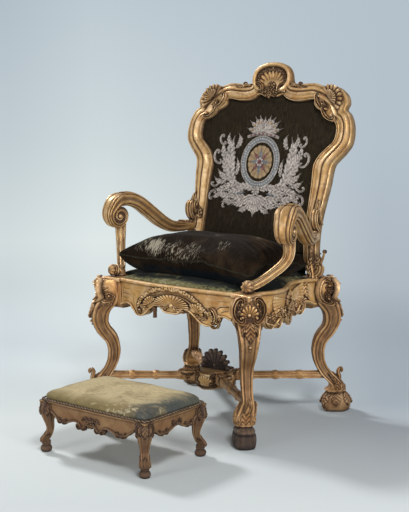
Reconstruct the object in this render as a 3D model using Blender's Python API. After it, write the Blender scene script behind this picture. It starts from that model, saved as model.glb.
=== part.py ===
"""A carved and gilded armchair on cabriole legs with crossed stretchers, its loose cushion and its footstool."""

import math
from collections import namedtuple

import bmesh
import bpy
from mathutils import Vector

# Driving dimensions of the armchair, in metres
seat_height = 0.52
seat_front_half_width = 0.332
seat_taper = 0.010
seat_back_half_width = seat_front_half_width - seat_taper
seat_front_reach = 0.25
seat_back_reach = 0.267
back_seat_reach = 0.20
back_rise = 0.80
back_half_width = 0.39
back_recline = math.radians(13)

# Clearances between touching pieces
joint_gap = 0.0003
cloth_gap = 0.0006

# Legs and feet
leg_swing = 0.10
leg_half_block = 0.047
stump_size = 0.073
stump_drop = 0.10
front_toe_shift = 0.018
foot_reach = 0.043
foot_half_length = 0.055
foot_half_width = 0.040

# Seat rails
rail_drop = 0.13
front_rail_bow = 0.02
side_rail_wave = 0.03
front_rail_thickness = 0.045
side_rail_thickness = 0.062
back_rail_thickness = 0.045
back_rail_drop = 0.09
rail_lip = 0.016
rail_rabbet = 0.022
rail_bead = 0.012
rail_step = 0.005
tenon_thickness = 0.012
tenon_length = 0.030
tenon_setback = 0.014
tenon_shoulder = 0.030
tenon_height = 0.045

# Slip seat
seat_frame_thickness = 0.0117
seat_frame_width = 0.055
webbing_thickness = 0.002
strap_width = 0.045
strap_space = 0.035
seat_pad_edge = 0.0105
seat_pad_crown = 0.012
brace_width = 0.026
brace_height = 0.045
brace_reach = 0.062

# Crossed stretchers, hub and shell
stretcher_height = 0.141
stretcher_half_thickness = 0.0135
hub_reach = 0.055
hub_flat_half_width = 0.021
hub_lobe_reach = 0.072
hub_bottom = 0.095
hub_height = 0.071
shell_radius = 0.0575
shell_rise = 0.066
shell_thickness = 0.018
shell_hollow = 0.016
shell_eye = 0.008
shell_rib = 0.003

# Back frame
frame_depth = 0.05
lower_rail_lift = 0.032
lower_rail_bottom = seat_height + lower_rail_lift
lower_rail_height = 0.048
panel_gap = 0.0008
strainer_gap = 0.003
back_pad_edge_depth = 0.012
back_pad_crown = 0.009
back_pad_thickness = 0.0117
back_frame_thickness = 0.012
back_frame_share = 0.84
back_cover_thickness = 0.0035
embroidery_thickness = 0.003
embroidery_half_width = 0.17
embroidery_height = 0.36
embroidery_lift = 0.215
embroidery_bottom = seat_height + embroidery_lift

# Arms and their supports
arm_reach = 0.375
arm_rise = 0.125
arm_joint_rise = 0.152
arm_joint_height = seat_height + arm_joint_rise
arm_joint_half_width = 0.300
arm_splay = 0.103
arm_thickness = 0.05
arm_half_width = 0.025
volute_radius = 0.043
volute_half_width = 0.031
volute_relief = 0.004
support_foot_inset = 0.036
support_foot_half_width = seat_front_half_width - support_foot_inset
support_foot_setback = 0.05
support_foot_reach = seat_front_reach - support_foot_setback
support_over_joint = 0.028
support_rise = arm_joint_rise + support_over_joint
support_half_thickness = 0.021
support_foot_radius = 0.018
support_foot_height = 0.024

# Loose cushion
cushion_side_inset = 0.035
cushion_half_width = seat_front_half_width - cushion_side_inset
cushion_front_inset = 0.042
cushion_front_reach = seat_front_reach - cushion_front_inset
cushion_back_inset = 0.042
cushion_back_reach = back_seat_reach - cushion_back_inset
cushion_rise = 0.092
cushion_drop = 0.052
cushion_pull = 0.035
cushion_corner_lift = 0.02

# Driving dimensions of the footstool
stool_height = 0.182
stool_half_length = 0.232
stool_half_width = 0.152
stool_offset_side = 0.072
stool_offset_front = 0.607
stool_leg_swing = 0.05
stool_leg_half_block = 0.027
stool_stump_size = 0.044
stool_stump_drop = 0.042
stool_rail_drop = 0.068
stool_rail_bow = 0.006
stool_rail_thickness = 0.022
stool_rail_lip = 0.010
stool_rail_rabbet = 0.014
stool_rail_bead = 0.007
stool_rail_step = 0.003
stool_frame_thickness = 0.010
stool_frame_width = 0.035
stool_webbing_thickness = 0.0015
stool_strap_width = 0.035
stool_strap_space = 0.03
stool_pad_margin = 0.006
stool_pad_edge = 0.011
stool_pad_crown = 0.024
stool_brace_width = 0.016
stool_brace_height = 0.02
stool_brace_reach = 0.022

# Counts of faces
leg_sides = 10
stool_leg_sides = 8
leg_steps = 1
foot_sides = 12
front_rail_stations = 30
front_rail_knots = 10
side_rail_stations = 24
side_rail_knots = 12
back_rail_stations = 10
stool_rail_stations = 22
stretcher_sides = 8
frame_steps = 2
arm_sides = 10
arm_steps = 2
support_steps = 2
volute_sides = 16
volute_turns = 1.6
shell_ribs = 7
shell_columns = 28
cushion_columns = 18
cushion_rows = 14
stool_pad_sides = 32
pattern_steps = 2

# Faces that meet at more than this are drawn with a sharp edge
sharp_angle = math.radians(40)

# Forms as shares of the sizes that they follow
corner_softness_share = 0.62
foot_softness_share = 0.9
stool_pad_softness_share = 0.3
least_inset_share = 0.5
leg_profile_shares = (
    (0.143, 0.68, 0.06, 0.55),
    (0.163, 0.73, 0.08, 0.66),
    (0.192, 0.71, 0.17, 0.72),
    (0.227, 0.56, 0.04, 0.68),
    (0.260, 0.40, -0.12, 0.59),
    (0.288, 0.25, -0.24, 0.46),
    (0.327, 0.08, -0.36, 0.43),
    (0.385, -0.04, -0.48, 0.455),
    (0.452, -0.065, -0.54, 0.48),
    (0.510, 0.0, -0.51, 0.52),
    (0.548, 0.16, -0.46, 0.57),
    (0.587, 0.34, -0.36, 0.62),
    (0.644, 0.48, -0.14, 0.68),
    (0.694, 0.545, -0.10, 0.755),
    (0.750, 0.52, -0.18, 0.85),
    (0.812, 0.42, -0.45, 0.96),
    (0.858, 0.22, -0.50, 0.94),
    (0.910, 0.32, -0.50, 1.0),
    (0.962, 0.30, -0.50, 0.97),
    (0.988, 0.18, -0.45, 0.85),
)
toe_start_share = 0.30
toe_end_share = 0.19
foot_shares = ((0, 0.78), (0.10, 0.93), (0.35, 1), (0.62, 0.95), (0.85, 0.78), (1, 0.56))
front_drop_shares = (
    (0, 0.79), (0.12, 0.77), (0.2, 0.64), (0.28, 0.63), (0.4, 0.76), (0.53, 0.96),
    (0.65, 0.98), (0.74, 0.83), (0.8, 0.72), (0.9, 0.70), (1, 0.77),
)
side_drop_shares = (
    (0, 0.77), (0.08, 0.92), (0.15, 0.98), (0.22, 0.80), (0.29, 0.66), (0.37, 0.88), (0.46, 1.05),
    (0.55, 1.02), (0.63, 0.80), (0.70, 0.86), (0.77, 0.92), (0.84, 0.68), (0.92, 0.68), (1, 0.77),
)
back_drop_shares = ((0, 1.15), (0.4, 1.1), (0.75, 0.9), (1, 1))
stool_long_drop_shares = (
    (0, 0.81), (0.1, 0.79), (0.2, 1.0), (0.3, 0.77), (0.42, 0.74), (0.62, 0.91), (0.8, 0.88),
    (0.92, 0.66), (1, 0.55),
)
stool_short_drop_shares = (
    (0, 0.52), (0.12, 0.62), (0.35, 0.78), (0.6, 0.80), (0.8, 0.78), (0.93, 0.6), (1, 0.55),
)
stretcher_shares = (
    (0, 1), (0.25, 1), (0.26, 1.3), (0.29, 1.3), (0.30, 1), (0.50, 0.92), (0.51, 1.3), (0.54, 1.3),
    (0.55, 0.95), (0.74, 0.95), (0.80, 1.35), (0.86, 1.1), (0.92, 1.5), (1, 1.45),
)
hub_lobe_shares = (0.35, 0.5, 0.65)
shell_rim_share = 0.93
shell_ring_shares = (0.45, 0.8, 0.75)
hub_level_shares = ((0, 0.6), (0.15, 0.9), (0.32, 1), (0.93, 1), (1, 0.93))
frame_outline_shares = (
    (0, 1, 0, 0.84, 1.0),
    (0.14, 0.99, 0.065, 0.835, 1.0),
    (0.225, 0.96, 0.13, 0.845, 0.6),
    (0.25, 0.92, 0.16, 0.84, 0.2),
    (0.267, 0.898, 0.205, 0.825, 0),
    (0.333, 0.895, 0.277, 0.815, 0),
    (0.423, 0.898, 0.385, 0.815, 0),
    (0.526, 0.898, 0.475, 0.822, 0),
    (0.628, 0.883, 0.53, 0.82, 0),
    (0.69, 0.89, 0.533, 0.798, 0.5),
    (0.782, 0.88, 0.577, 0.778, 0.9),
    (0.872, 0.846, 0.636, 0.765, 0.9),
    (0.903, 0.81, 0.672, 0.744, 0.5),
    (0.885, 0.78, 0.73, 0.729, 0),
    (0.93, 0.76, 0.777, 0.722, 0),
    (0.975, 0.72, 0.813, 0.702, 0),
    (0.995, 0.67, 0.823, 0.662, 0),
    (0.987, 0.62, 0.80, 0.625, 0),
    (0.936, 0.58, 0.744, 0.60, 0),
    (0.872, 0.546, 0.672, 0.565, 0),
    (0.836, 0.525, 0.63, 0.532, 0),
    (0.82, 0.494, 0.615, 0.50, 0),
    (0.81, 0.425, 0.623, 0.425, 0),
    (0.774, 0.30, 0.623, 0.304, 0),
    (0.764, 0.225, 0.62, 0.225, 0),
    (0.769, 0.163, 0.623, 0.163, 0),
    (0.787, 0.10, 0.646, 0.10, 0),
    (0.80, 0.06, 0.677, 0.057, 0),
    (0.825, 0.02, 0.71, 0.02, 0),
)
crest_last_station = 19
frame_section_shares = (
    (0, -0.70, 0), (0, 0.12, 0), (0.16, 0.08, 0.3), (0.36, 0.26, 1), (0.64, 0.26, 1),
    (0.84, 0.10, 0.5), (1, 0.08, 0), (1, -0.50, 0), (0.86, -0.70, 0),
)
frame_ridge_share = 0.26
frame_swell_share = 0.16
embroidery_outline_shares = (
    (0, 1), (0.2, 0.96), (0.27, 0.84), (0.42, 0.80), (0.78, 0.84), (0.95, 0.70), (0.84, 0.52),
    (0.92, 0.38), (1, 0.22), (0.8, 0.10), (0.52, 0.14), (0.3, 0.06), (0.12, 0),
)
arm_path_shares = (
    (0, 0, 0.33), (0.094, 0, 0.34), (0.20, 0, 0.36), (0.294, 0.048, 0.42), (0.406, 0.224, 0.48),
    (0.548, 0.56, 0.5), (0.681, 0.864, 0.5), (0.788, 0.992, 0.5), (0.894, 0.992, 0.5),
    (0.974, 0.864, 0.48), (1.006, 0.664, 0.44), (0.988, 0.448, 0.40), (0.94, 0.36, 0.30),
)
volute_centre_shares = (0.929, 0.488)
volute_ring_shares = (0.16, 0.45, 0.75, 1)
support_path_shares = (
    (1.02, 1.0, 1.2), (1.03, 0.78, 1.1), (0.98, 0.63, 1.0), (0.83, 0.49, 0.95), (0.63, 0.37, 0.9),
    (0.41, 0.25, 0.88), (0.19, 0.155, 0.85), (0.0, 0.115, 0.85),
)
support_top_share = 0.38
cushion_underside_share = 0.33
cushion_fullness_powers = (4, 0.5, 0.6)
seat_crown_shares = ((0.97, 0.25), (0.86, 0.62), (0.66, 0.9), (0.36, 1))
stool_crown_shares = ((0.985, 0.3), (0.93, 0.62), (0.8, 0.88), (0.5, 1))
back_crown_shares = ((0.97, 0.55), (0.9, 1))
cushion_tip_shares = {(-1, -1): 1.0, (1, -1): -0.35, (-1, 1): 0.3, (1, 1): -0.3}
stool_leg_profile_shares = (
    (0, 0.02, -0.60, 0.57),
    (0.033, 0.10, -0.68, 0.685),
    (0.10, 0.10, -0.68, 0.685),
    (0.143, -0.04, -0.56, 0.52),
    (0.181, 0.06, -0.52, 0.61),
    (0.231, 0.08, -0.52, 0.61),
    (0.286, -0.04, -0.64, 0.555),
    (0.357, -0.22, -0.76, 0.535),
    (0.44, -0.32, -0.84, 0.535),
    (0.522, -0.26, -0.86, 0.61),
    (0.604, -0.14, -0.86, 0.72),
    (0.687, -0.02, -0.90, 0.85),
    (0.76, 0.04, -0.80, 0.92),
    (0.852, 0.04, -0.72, 0.92),
    (0.934, -0.04, -0.70, 0.88),
    (0.978, -0.16, -0.66, 0.78),
)

full_turn = 2 * math.pi

Leg = namedtuple("Leg", "corner outward height swing half_block stump stump_drop profile toe_shift sides")
Rail = namedtuple("Rail", "start end outward top drop bow drop_share sizes stations knots")
RailSizes = namedtuple("RailSizes", "thickness lip rabbet bead step")

chair_rail_sizes = {
    "front": RailSizes(front_rail_thickness, rail_lip, rail_rabbet, rail_bead, rail_step),
    "side": RailSizes(side_rail_thickness, rail_lip, rail_rabbet, rail_bead, rail_step),
    "back": RailSizes(back_rail_thickness, rail_lip, rail_rabbet, rail_bead, rail_step),
}
stool_rail_sizes = RailSizes(
    stool_rail_thickness, stool_rail_lip, stool_rail_rabbet, stool_rail_bead, stool_rail_step
)

# Colour, roughness and metallic value of each kind of finish
finishes = {
    "gilt": ((0.62, 0.40, 0.14), 0.38, 0.75),
    "worn_gilt": ((0.45, 0.27, 0.11), 0.45, 0.55),
    "dark_wood": ((0.13, 0.06, 0.035), 0.55, 0),
    "beech": ((0.50, 0.36, 0.22), 0.6, 0),
    "velvet": ((0.045, 0.03, 0.018), 0.85, 0),
    "seat_velvet": ((0.17, 0.16, 0.08), 0.85, 0),
    "stool_velvet": ((0.55, 0.47, 0.27), 0.85, 0),
    "webbing": ((0.42, 0.33, 0.20), 0.9, 0),
    "lining": ((0.10, 0.07, 0.04), 0.9, 0),
    "thread": ((0.50, 0.45, 0.46), 0.5, 0.3),
}


def clear_scene():
    for item in list(bpy.data.objects):
        bpy.data.objects.remove(item, do_unlink=True)


def catmull_rom(before, start, end, after, t):
    return 0.5 * (
        2 * start
        + (end - before) * t
        + (2 * before - 5 * start + 4 * end - after) * t**2
        + (3 * start - before - 3 * end + after) * t**3
    )


def smooth_through(points, per_span):
    """Points of a smooth curve through the given ones, which may have any number of coordinates."""
    last = len(points) - 1
    curve = []
    for index in range(last):
        around = (points[max(index - 1, 0)], points[index], points[index + 1], points[min(index + 2, last)])
        for step in range(per_span):
            curve.append(tuple(catmull_rom(*four, step / per_span) for four in zip(*around)))
    curve.append(tuple(points[-1]))
    return curve


def smooth_value(table, position):
    """The value at a position on the smooth curve through a table of (position, value)."""
    last = len(table) - 1
    index = 0
    while index < last - 1 and position > table[index + 1][0]:
        index += 1
    span = table[index + 1][0] - table[index][0]
    around = (table[max(index - 1, 0)], table[index], table[index + 1], table[min(index + 2, last)])
    return catmull_rom(*(row[1] for row in around), (position - table[index][0]) / span)


def ease(value):
    """0 to 1, leaving and arriving level."""
    value = min(max(value, 0), 1)
    return value * value * (3 - 2 * value)


def signed_power(value, power):
    return math.copysign(abs(value) ** power, value)


def rounded_section(half_out, half_side, sides, softness_share=corner_softness_share):
    """Offsets (outwards, sideways) round a section between a circle and a square."""
    offsets = []
    for index in range(sides):
        angle = full_turn * (index + 0.5) / sides
        out = signed_power(math.cos(angle), softness_share)
        side = signed_power(math.sin(angle), softness_share)
        offsets.append((half_out * out, half_side * side))
    return offsets


def loft(rings, closed=False):
    """A closed body through rings of as many points each, capped unless the last joins the first."""
    bm = bmesh.new()
    rows = [[bm.verts.new(point) for point in ring] for ring in rings]
    pairs = list(zip(rows, rows[1:]))
    if closed:
        pairs.append((rows[-1], rows[0]))
    for lower, upper in pairs:
        for index in range(len(lower)):
            after = (index + 1) % len(lower)
            bm.faces.new((lower[index], lower[after], upper[after], upper[index]))
    if not closed:
        bm.faces.new(rows[0])
        bm.faces.new(reversed(rows[-1]))
    bmesh.ops.recalc_face_normals(bm, faces=bm.faces)
    return bm


def prism(outline, bottom, top):
    """A closed body over an outline of (x, y) between two heights."""
    return loft([[Vector((x, y, height)) for x, y in outline] for height in (bottom, top)])


def make_material(name, finish):
    colour, roughness, metallic = finishes[finish]
    material = bpy.data.materials.new(name)
    material.use_nodes = True
    shader = material.node_tree.nodes["Principled BSDF"]
    shader.inputs["Base Color"].default_value = (*colour, 1)
    shader.inputs["Roughness"].default_value = roughness
    shader.inputs["Metallic"].default_value = metallic
    material.diffuse_color = (*colour, 1)
    return material


def add_piece(name, bm, finish, parent):
    """Makes a named object of the mesh, carried by the parent empty."""
    mesh = bpy.data.meshes.new(name)
    bm.to_mesh(mesh)
    bm.free()
    mesh.materials.append(make_material(f"{name}_finish", finish))
    mesh.shade_smooth()
    mesh.set_sharp_from_angle(angle=sharp_angle)
    piece = bpy.data.objects.new(name, mesh)
    bpy.context.scene.collection.objects.link(piece)
    piece.parent = parent
    return piece


def add_base(name, place):
    base = bpy.data.objects.new(name, None)
    base.location = place
    bpy.context.scene.collection.objects.link(base)
    return base


def combine(piece, bm, operation):
    """Joins the mesh to the piece, or cuts it from the piece, with an exact Boolean that is then applied."""
    mesh = bpy.data.meshes.new(f"{piece.name}_tool")
    bm.to_mesh(mesh)
    bm.free()
    tool = bpy.data.objects.new(mesh.name, mesh)
    bpy.context.scene.collection.objects.link(tool)
    tool.parent = piece.parent
    modifier = piece.modifiers.new(operation.lower(), "BOOLEAN")
    modifier.operation = operation
    modifier.object = tool
    bpy.context.view_layer.update()
    graph = bpy.context.evaluated_depsgraph_get()
    result = bpy.data.meshes.new_from_object(piece.evaluated_get(graph))
    piece.modifiers.remove(modifier)
    piece.data = result
    result.name = piece.name
    bpy.data.objects.remove(tool, do_unlink=True)


def chair_leg(side, end):
    """The leg at a corner of the seat: side is -1 or 1 across, end is -1 at the front and 1 at the back."""
    corner = Vector((side * seat_front_half_width, -seat_front_reach, 0))
    if end > 0:
        corner = Vector((side * seat_back_half_width, seat_back_reach, 0))
    toe_shift = front_toe_shift if end < 0 else 0
    return Leg(
        corner, Vector((side, end, 0)), seat_height, leg_swing, leg_half_block, stump_size, stump_drop,
        leg_profile_shares, toe_shift, leg_sides,
    )


def stool_leg(side, end):
    corner = Vector((side * stool_half_length, end * stool_half_width, 0))
    return Leg(
        corner, Vector((side, end, 0)), stool_height, stool_leg_swing, stool_leg_half_block,
        stool_stump_size, stool_stump_drop, stool_leg_profile_shares, 0, stool_leg_sides,
    )


def leg_axes(leg):
    """The way that the leg swings, and the way across it."""
    outward = leg.outward.normalized()
    across = Vector((-leg.outward.x, leg.outward.y, 0)).normalized()
    return outward, across


def toe_turn(leg, height):
    start = leg.height * toe_start_share
    end = leg.height * toe_end_share
    return leg.toe_shift * ease((start - height) / (start - end))


def leg_body(leg, grow=0):
    """The cabriole leg as a loft through level sections, from its ankle to inside its stump."""
    outward, across = leg_axes(leg)
    rings = []
    for height_share, out_share, in_share, side_share in smooth_through(leg.profile, leg_steps):
        height = height_share * leg.height
        outer = out_share * leg.swing
        inner = in_share * leg.swing
        centre = leg.corner + outward * (outer + inner) / 2 + across * toe_turn(leg, height)
        half_out = (outer - inner) / 2 + grow
        half_side = side_share * leg.half_block + grow
        ring = []
        for out, aside in rounded_section(half_out, half_side, leg.sides):
            ring.append(centre + outward * out + across * aside + Vector((0, 0, height)))
        rings.append(ring)
    return loft(rings)


def stump_body(leg):
    """The square stump that the seat rails join, with its faces square to them."""
    inner = leg.corner - leg.outward * leg.stump
    outline = (
        (leg.corner.x, leg.corner.y), (inner.x, leg.corner.y), (inner.x, inner.y), (leg.corner.x, inner.y)
    )
    return prism(outline, leg.height - leg.stump_drop, leg.height)


def make_leg(name, leg, finish, parent):
    piece = add_piece(name, leg_body(leg), finish, parent)
    combine(piece, stump_body(leg), "UNION")
    return piece


def make_foot(name, leg, parent):
    """The ball foot under a leg of the chair, long in the way that the leg swings."""
    outward, across = leg_axes(leg)
    centre = leg.corner + outward * foot_reach + across * leg.toe_shift
    foot_top = leg.profile[0][0] * leg.height - joint_gap
    section = rounded_section(foot_half_length, foot_half_width, foot_sides, foot_softness_share)
    rings = []
    for height_share, size_share in foot_shares:
        level = centre + Vector((0, 0, height_share * foot_top))
        rings.append([level + (outward * out + across * aside) * size_share for out, aside in section])
    add_piece(name, loft(rings), "worn_gilt", parent)


def knotted(curve, position, knots):
    """The curve read along straight runs between its knots."""
    index = min(int(position * knots), knots - 1)
    start, end = curve(index / knots), curve((index + 1) / knots)
    return start + (end - start) * (position * knots - index)


def rail_ring(rail, position):
    """One cross-section of a seat rail: moulded face, shaped lower edge, and a rabbet for the slip seat."""
    bow = rail.bow(position)
    lip = knotted(rail.bow, position, rail.knots) - rail.sizes.lip
    drop_share = rail.drop_share(position)
    sizes = rail.sizes
    line = rail.start.lerp(rail.end, position)
    bottom = rail.top - rail.drop * drop_share
    ledge = rail.top - sizes.rabbet
    face = (
        (bow, rail.top),
        (bow, rail.top - sizes.bead),
        (bow - sizes.step, rail.top - sizes.bead - sizes.step),
        (bow - sizes.step, bottom + sizes.bead),
        (bow, bottom + sizes.step),
        (bow - sizes.step, bottom),
        (-sizes.thickness, bottom),
        (-sizes.thickness, ledge),
        (lip, ledge),
        (lip, rail.top),
    )
    return [line + rail.outward * out + Vector((0, 0, height)) for out, height in face]


def make_rail(name, rail, finish, parent):
    rings = [rail_ring(rail, index / rail.stations) for index in range(rail.stations + 1)]
    return add_piece(name, loft(rings), finish, parent)


def tenon_body(face, way, outward, top, grow=0):
    """A tenon that runs on from the end of a rail, or the mortise for it, from a point on the rail's line."""
    near = face - way * tenon_length / 2
    far = face + way * (tenon_length + grow)
    outer = tenon_setback - grow
    inner = tenon_setback + tenon_thickness + grow
    corners = (near - outward * outer, far - outward * outer, far - outward * inner, near - outward * inner)
    head = top - tenon_shoulder
    outline = [(corner.x, corner.y) for corner in corners]
    return prism(outline, head - tenon_height - grow, head + grow)


def join_rail(rail_piece, rail, leg_pieces):
    """Gives a rail its two tenons, and cuts a mortise for each in the leg at that end."""
    ways = ((rail.start, rail.end, leg_pieces[0]), (rail.end, rail.start, leg_pieces[1]))
    for face, other, leg_piece in ways:
        way = (face - other).normalized()
        combine(rail_piece, tenon_body(face, way, rail.outward, rail.top), "UNION")
        combine(leg_piece, tenon_body(face, way, rail.outward, rail.top, joint_gap), "DIFFERENCE")


def centred_bow(bow):
    """A bow that is deepest in the middle of its rail."""

    def shape(position):
        return bow * (1 - (2 * position - 1) ** 2)

    return shape


def centred_drop(table):
    """A drop that is the same to both sides of the middle of its rail."""

    def shape(position):
        return smooth_value(table, abs(2 * position - 1))

    return shape


def side_wave(position):
    return side_rail_wave * math.sin(full_turn * position)


def side_drop(position):
    return smooth_value(side_drop_shares, position)


def seat_side_at(depth):
    """Half the width of the seat at a place from front to back."""
    along = (depth + seat_front_reach) / (seat_front_reach + seat_back_reach)
    return seat_front_half_width + (seat_back_half_width - seat_front_half_width) * along


def side_rail_ends():
    return -seat_front_reach + stump_size + joint_gap, seat_back_reach - stump_size - joint_gap


def make_seat_rails(parent, legs):
    reach = seat_front_half_width - stump_size - joint_gap
    front = Rail(
        Vector((-reach, -seat_front_reach, 0)), Vector((reach, -seat_front_reach, 0)), Vector((0, -1, 0)),
        seat_height, rail_drop, centred_bow(front_rail_bow), centred_drop(front_drop_shares),
        chair_rail_sizes["front"], front_rail_stations, front_rail_knots,
    )
    piece = make_rail("front_seat_rail", front, "gilt", parent)
    join_rail(piece, front, (legs[-1, -1], legs[1, -1]))
    reach = seat_back_half_width - stump_size - joint_gap
    back = Rail(
        Vector((-reach, seat_back_reach, 0)), Vector((reach, seat_back_reach, 0)), Vector((0, 1, 0)),
        seat_height, back_rail_drop, centred_bow(0), centred_drop(back_drop_shares),
        chair_rail_sizes["back"], back_rail_stations, back_rail_stations,
    )
    piece = make_rail("back_seat_rail", back, "worn_gilt", parent)
    join_rail(piece, back, (legs[-1, 1], legs[1, 1]))
    near, far = side_rail_ends()
    for side, word in ((-1, "left"), (1, "right")):
        rail = Rail(
            Vector((side * seat_side_at(near), near, 0)), Vector((side * seat_side_at(far), far, 0)),
            Vector((side, 0, 0)), seat_height, rail_drop, side_wave, side_drop,
            chair_rail_sizes["side"], side_rail_stations, side_rail_knots,
        )
        piece = make_rail(f"{word}_seat_rail", rail, "gilt", parent)
        join_rail(piece, rail, (legs[side, -1], legs[side, 1]))


def back_depth(height):
    """How far back the plane of the back frame lies at a height."""
    return back_seat_reach + (height - seat_height) * math.tan(back_recline)


def back_point(across, height, forward):
    """A point of the leaning back: across and up in its plane, and forward square to it."""
    return Vector(
        (
            across,
            back_depth(height) - forward * math.cos(back_recline),
            height + forward * math.sin(back_recline),
        )
    )


def seat_outline(clearance):
    """The slip seat's outline: inside the lips of the rails and notched round the four stumps."""
    inset = rail_lip + clearance
    front_notch = seat_front_half_width - stump_size - clearance
    back_notch = seat_back_half_width - stump_size - clearance
    rail_reach = seat_front_half_width - stump_size - joint_gap
    near = -seat_front_reach + stump_size + clearance
    ridge = frame_depth * (frame_ridge_share + frame_swell_share)
    far = back_depth(seat_height) - ridge / math.cos(back_recline) - clearance
    half = []
    for knot in range(front_rail_knots // 2, front_rail_knots + 1):
        position = knot / front_rail_knots
        across = min(rail_reach * (2 * position - 1), front_notch)
        half.append((across, inset - seat_front_reach - centred_bow(front_rail_bow)(position)))
    half.append((front_notch, near))
    start, end = side_rail_ends()
    depths = [start + (end - start) * knot / side_rail_knots for knot in range(1, side_rail_knots)]
    for depth in [near] + [depth for depth in depths if depth < far] + [far]:
        wave = knotted(side_wave, (depth - start) / (end - start), side_rail_knots)
        half.append((seat_side_at(depth) + wave - inset, depth))
    back_edge = seat_back_reach - inset
    half.append((back_notch, far))
    half.append((back_notch, back_edge))
    return half + [(-x, y) for x, y in reversed(half) if x > 0]


def scaled_outline(outline, share):
    return [(x * share, y * share) for x, y in outline]


def inset_outline(outline, distance):
    """The outline, which runs anticlockwise, moved inwards square to its sides."""
    count = len(outline)
    moved = []
    for index in range(count):
        here = Vector(outline[index])
        before = (here - Vector(outline[index - 1])).normalized()
        after = (Vector(outline[(index + 1) % count]) - here).normalized()
        turn = (before + after).normalized()
        inward = Vector((-turn.y, turn.x))
        stretch = max(inward.dot(Vector((-before.y, before.x))), least_inset_share)
        moved.append(tuple(here + inward * distance / stretch))
    return moved


def frame_ring_body(outline, opening, bottom, top):
    """A flat frame between an outline and an opening of as many points."""
    rings = []
    for outer, inner in zip(outline, opening):
        rings.append(
            [
                Vector((*outer, bottom)), Vector((*outer, top)), Vector((*inner, top)), Vector((*inner, bottom)),
            ]
        )
    return loft(rings, closed=True)


def domed_pad(outline, bottom, edge, crown, level_shares):
    """A pad with a flat underside, an upright edge and a crown, made of shrinking outlines."""
    levels = [(outline, bottom), (outline, edge)]
    levels += [(scaled_outline(outline, size), edge + crown * rise) for size, rise in level_shares]
    return loft([[Vector((x, y, height)) for x, y in shape] for shape, height in levels])


def strap_lattice(half_x, half_y, width, space, bottom, thickness):
    """Woven webbing as one flat lattice: straps both ways with open squares between them."""

    def cuts(half):
        count = max(int((2 * half + space) / (width + space)), 2)
        pitch = (2 * half - width) / (count - 1)
        places = []
        for index in range(count):
            start = -half + pitch * index
            places += [start, start + width]
        return places

    xs, ys = cuts(half_x), cuts(half_y)
    bm = bmesh.new()
    grid = [[bm.verts.new((x, y, bottom)) for y in ys] for x in xs]
    for i in range(len(xs) - 1):
        for j in range(len(ys) - 1):
            if i % 2 == 0 or j % 2 == 0:
                bm.faces.new((grid[i][j], grid[i + 1][j], grid[i + 1][j + 1], grid[i][j + 1]))
    raised = bmesh.ops.extrude_face_region(bm, geom=bm.faces[:])
    verts = [item for item in raised["geom"] if isinstance(item, bmesh.types.BMVert)]
    bmesh.ops.translate(bm, verts=verts, vec=(0, 0, thickness))
    bmesh.ops.recalc_face_normals(bm, faces=bm.faces)
    return bm


def make_slip_seat(parent):
    ledge = seat_height - rail_rabbet + joint_gap
    frame_top = ledge + seat_frame_thickness
    outline = seat_outline(joint_gap)
    half_x = seat_front_half_width - stump_size - seat_frame_width
    half_y = seat_front_reach - stump_size - seat_frame_width / 2
    opening = seat_opening(outline, half_x, half_y)
    add_piece("seat_frame", frame_ring_body(outline, opening, ledge, frame_top), "beech", parent)
    webbing_bottom = frame_top + joint_gap
    lap = seat_frame_width / 4
    lattice = strap_lattice(
        half_x + lap, half_y + lap, strap_width, strap_space, webbing_bottom, webbing_thickness
    )
    add_piece("seat_webbing", lattice, "webbing", parent)
    pad_bottom = webbing_bottom + webbing_thickness + joint_gap
    pad = domed_pad(
        seat_outline(cloth_gap), pad_bottom, pad_bottom + seat_pad_edge, seat_pad_crown, seat_crown_shares
    )
    add_piece("seat_pad", pad, "seat_velvet", parent)


def seat_opening(outline, half_x, half_y):
    """A rounded oblong opening with a point for each point of the outline, seen from the middle."""
    opening = []
    for x, y in outline:
        angle = math.atan2(y / half_y, x / half_x)
        across = signed_power(math.cos(angle), corner_softness_share)
        along = signed_power(math.sin(angle), corner_softness_share)
        opening.append((half_x * across, half_y * along))
    return opening


def make_braces(prefix, half_x_at, half_y_of, stump, sizes, reach, width, height, top, parent):
    """Diagonal braces behind the stumps, each seated on the inner faces of two rails."""
    side_sizes, end_sizes = sizes
    for side, side_word in ((-1, "left"), (1, "right")):
        for end, end_word in ((-1, "front"), (1, "back")):
            face_y = half_y_of(end) - end_sizes[end].thickness - joint_gap
            from_corner = stump + reach
            near_y = half_y_of(end) - from_corner
            far_y = near_y - width
            near_x = half_x_at(end * near_y) - side_sizes.thickness - joint_gap
            far_x = half_x_at(end * far_y) - side_sizes.thickness - joint_gap
            first_x = half_x_at(end * half_y_of(end)) - from_corner
            outline = [(first_x, face_y), (near_x, near_y), (far_x, far_y), (first_x - width, face_y)]
            outline = [(side * x, end * y) for x, y in outline]
            name = f"{prefix}{end_word}_{side_word}_brace"
            add_piece(name, prism(outline, top - height, top), "beech", parent)


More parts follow.
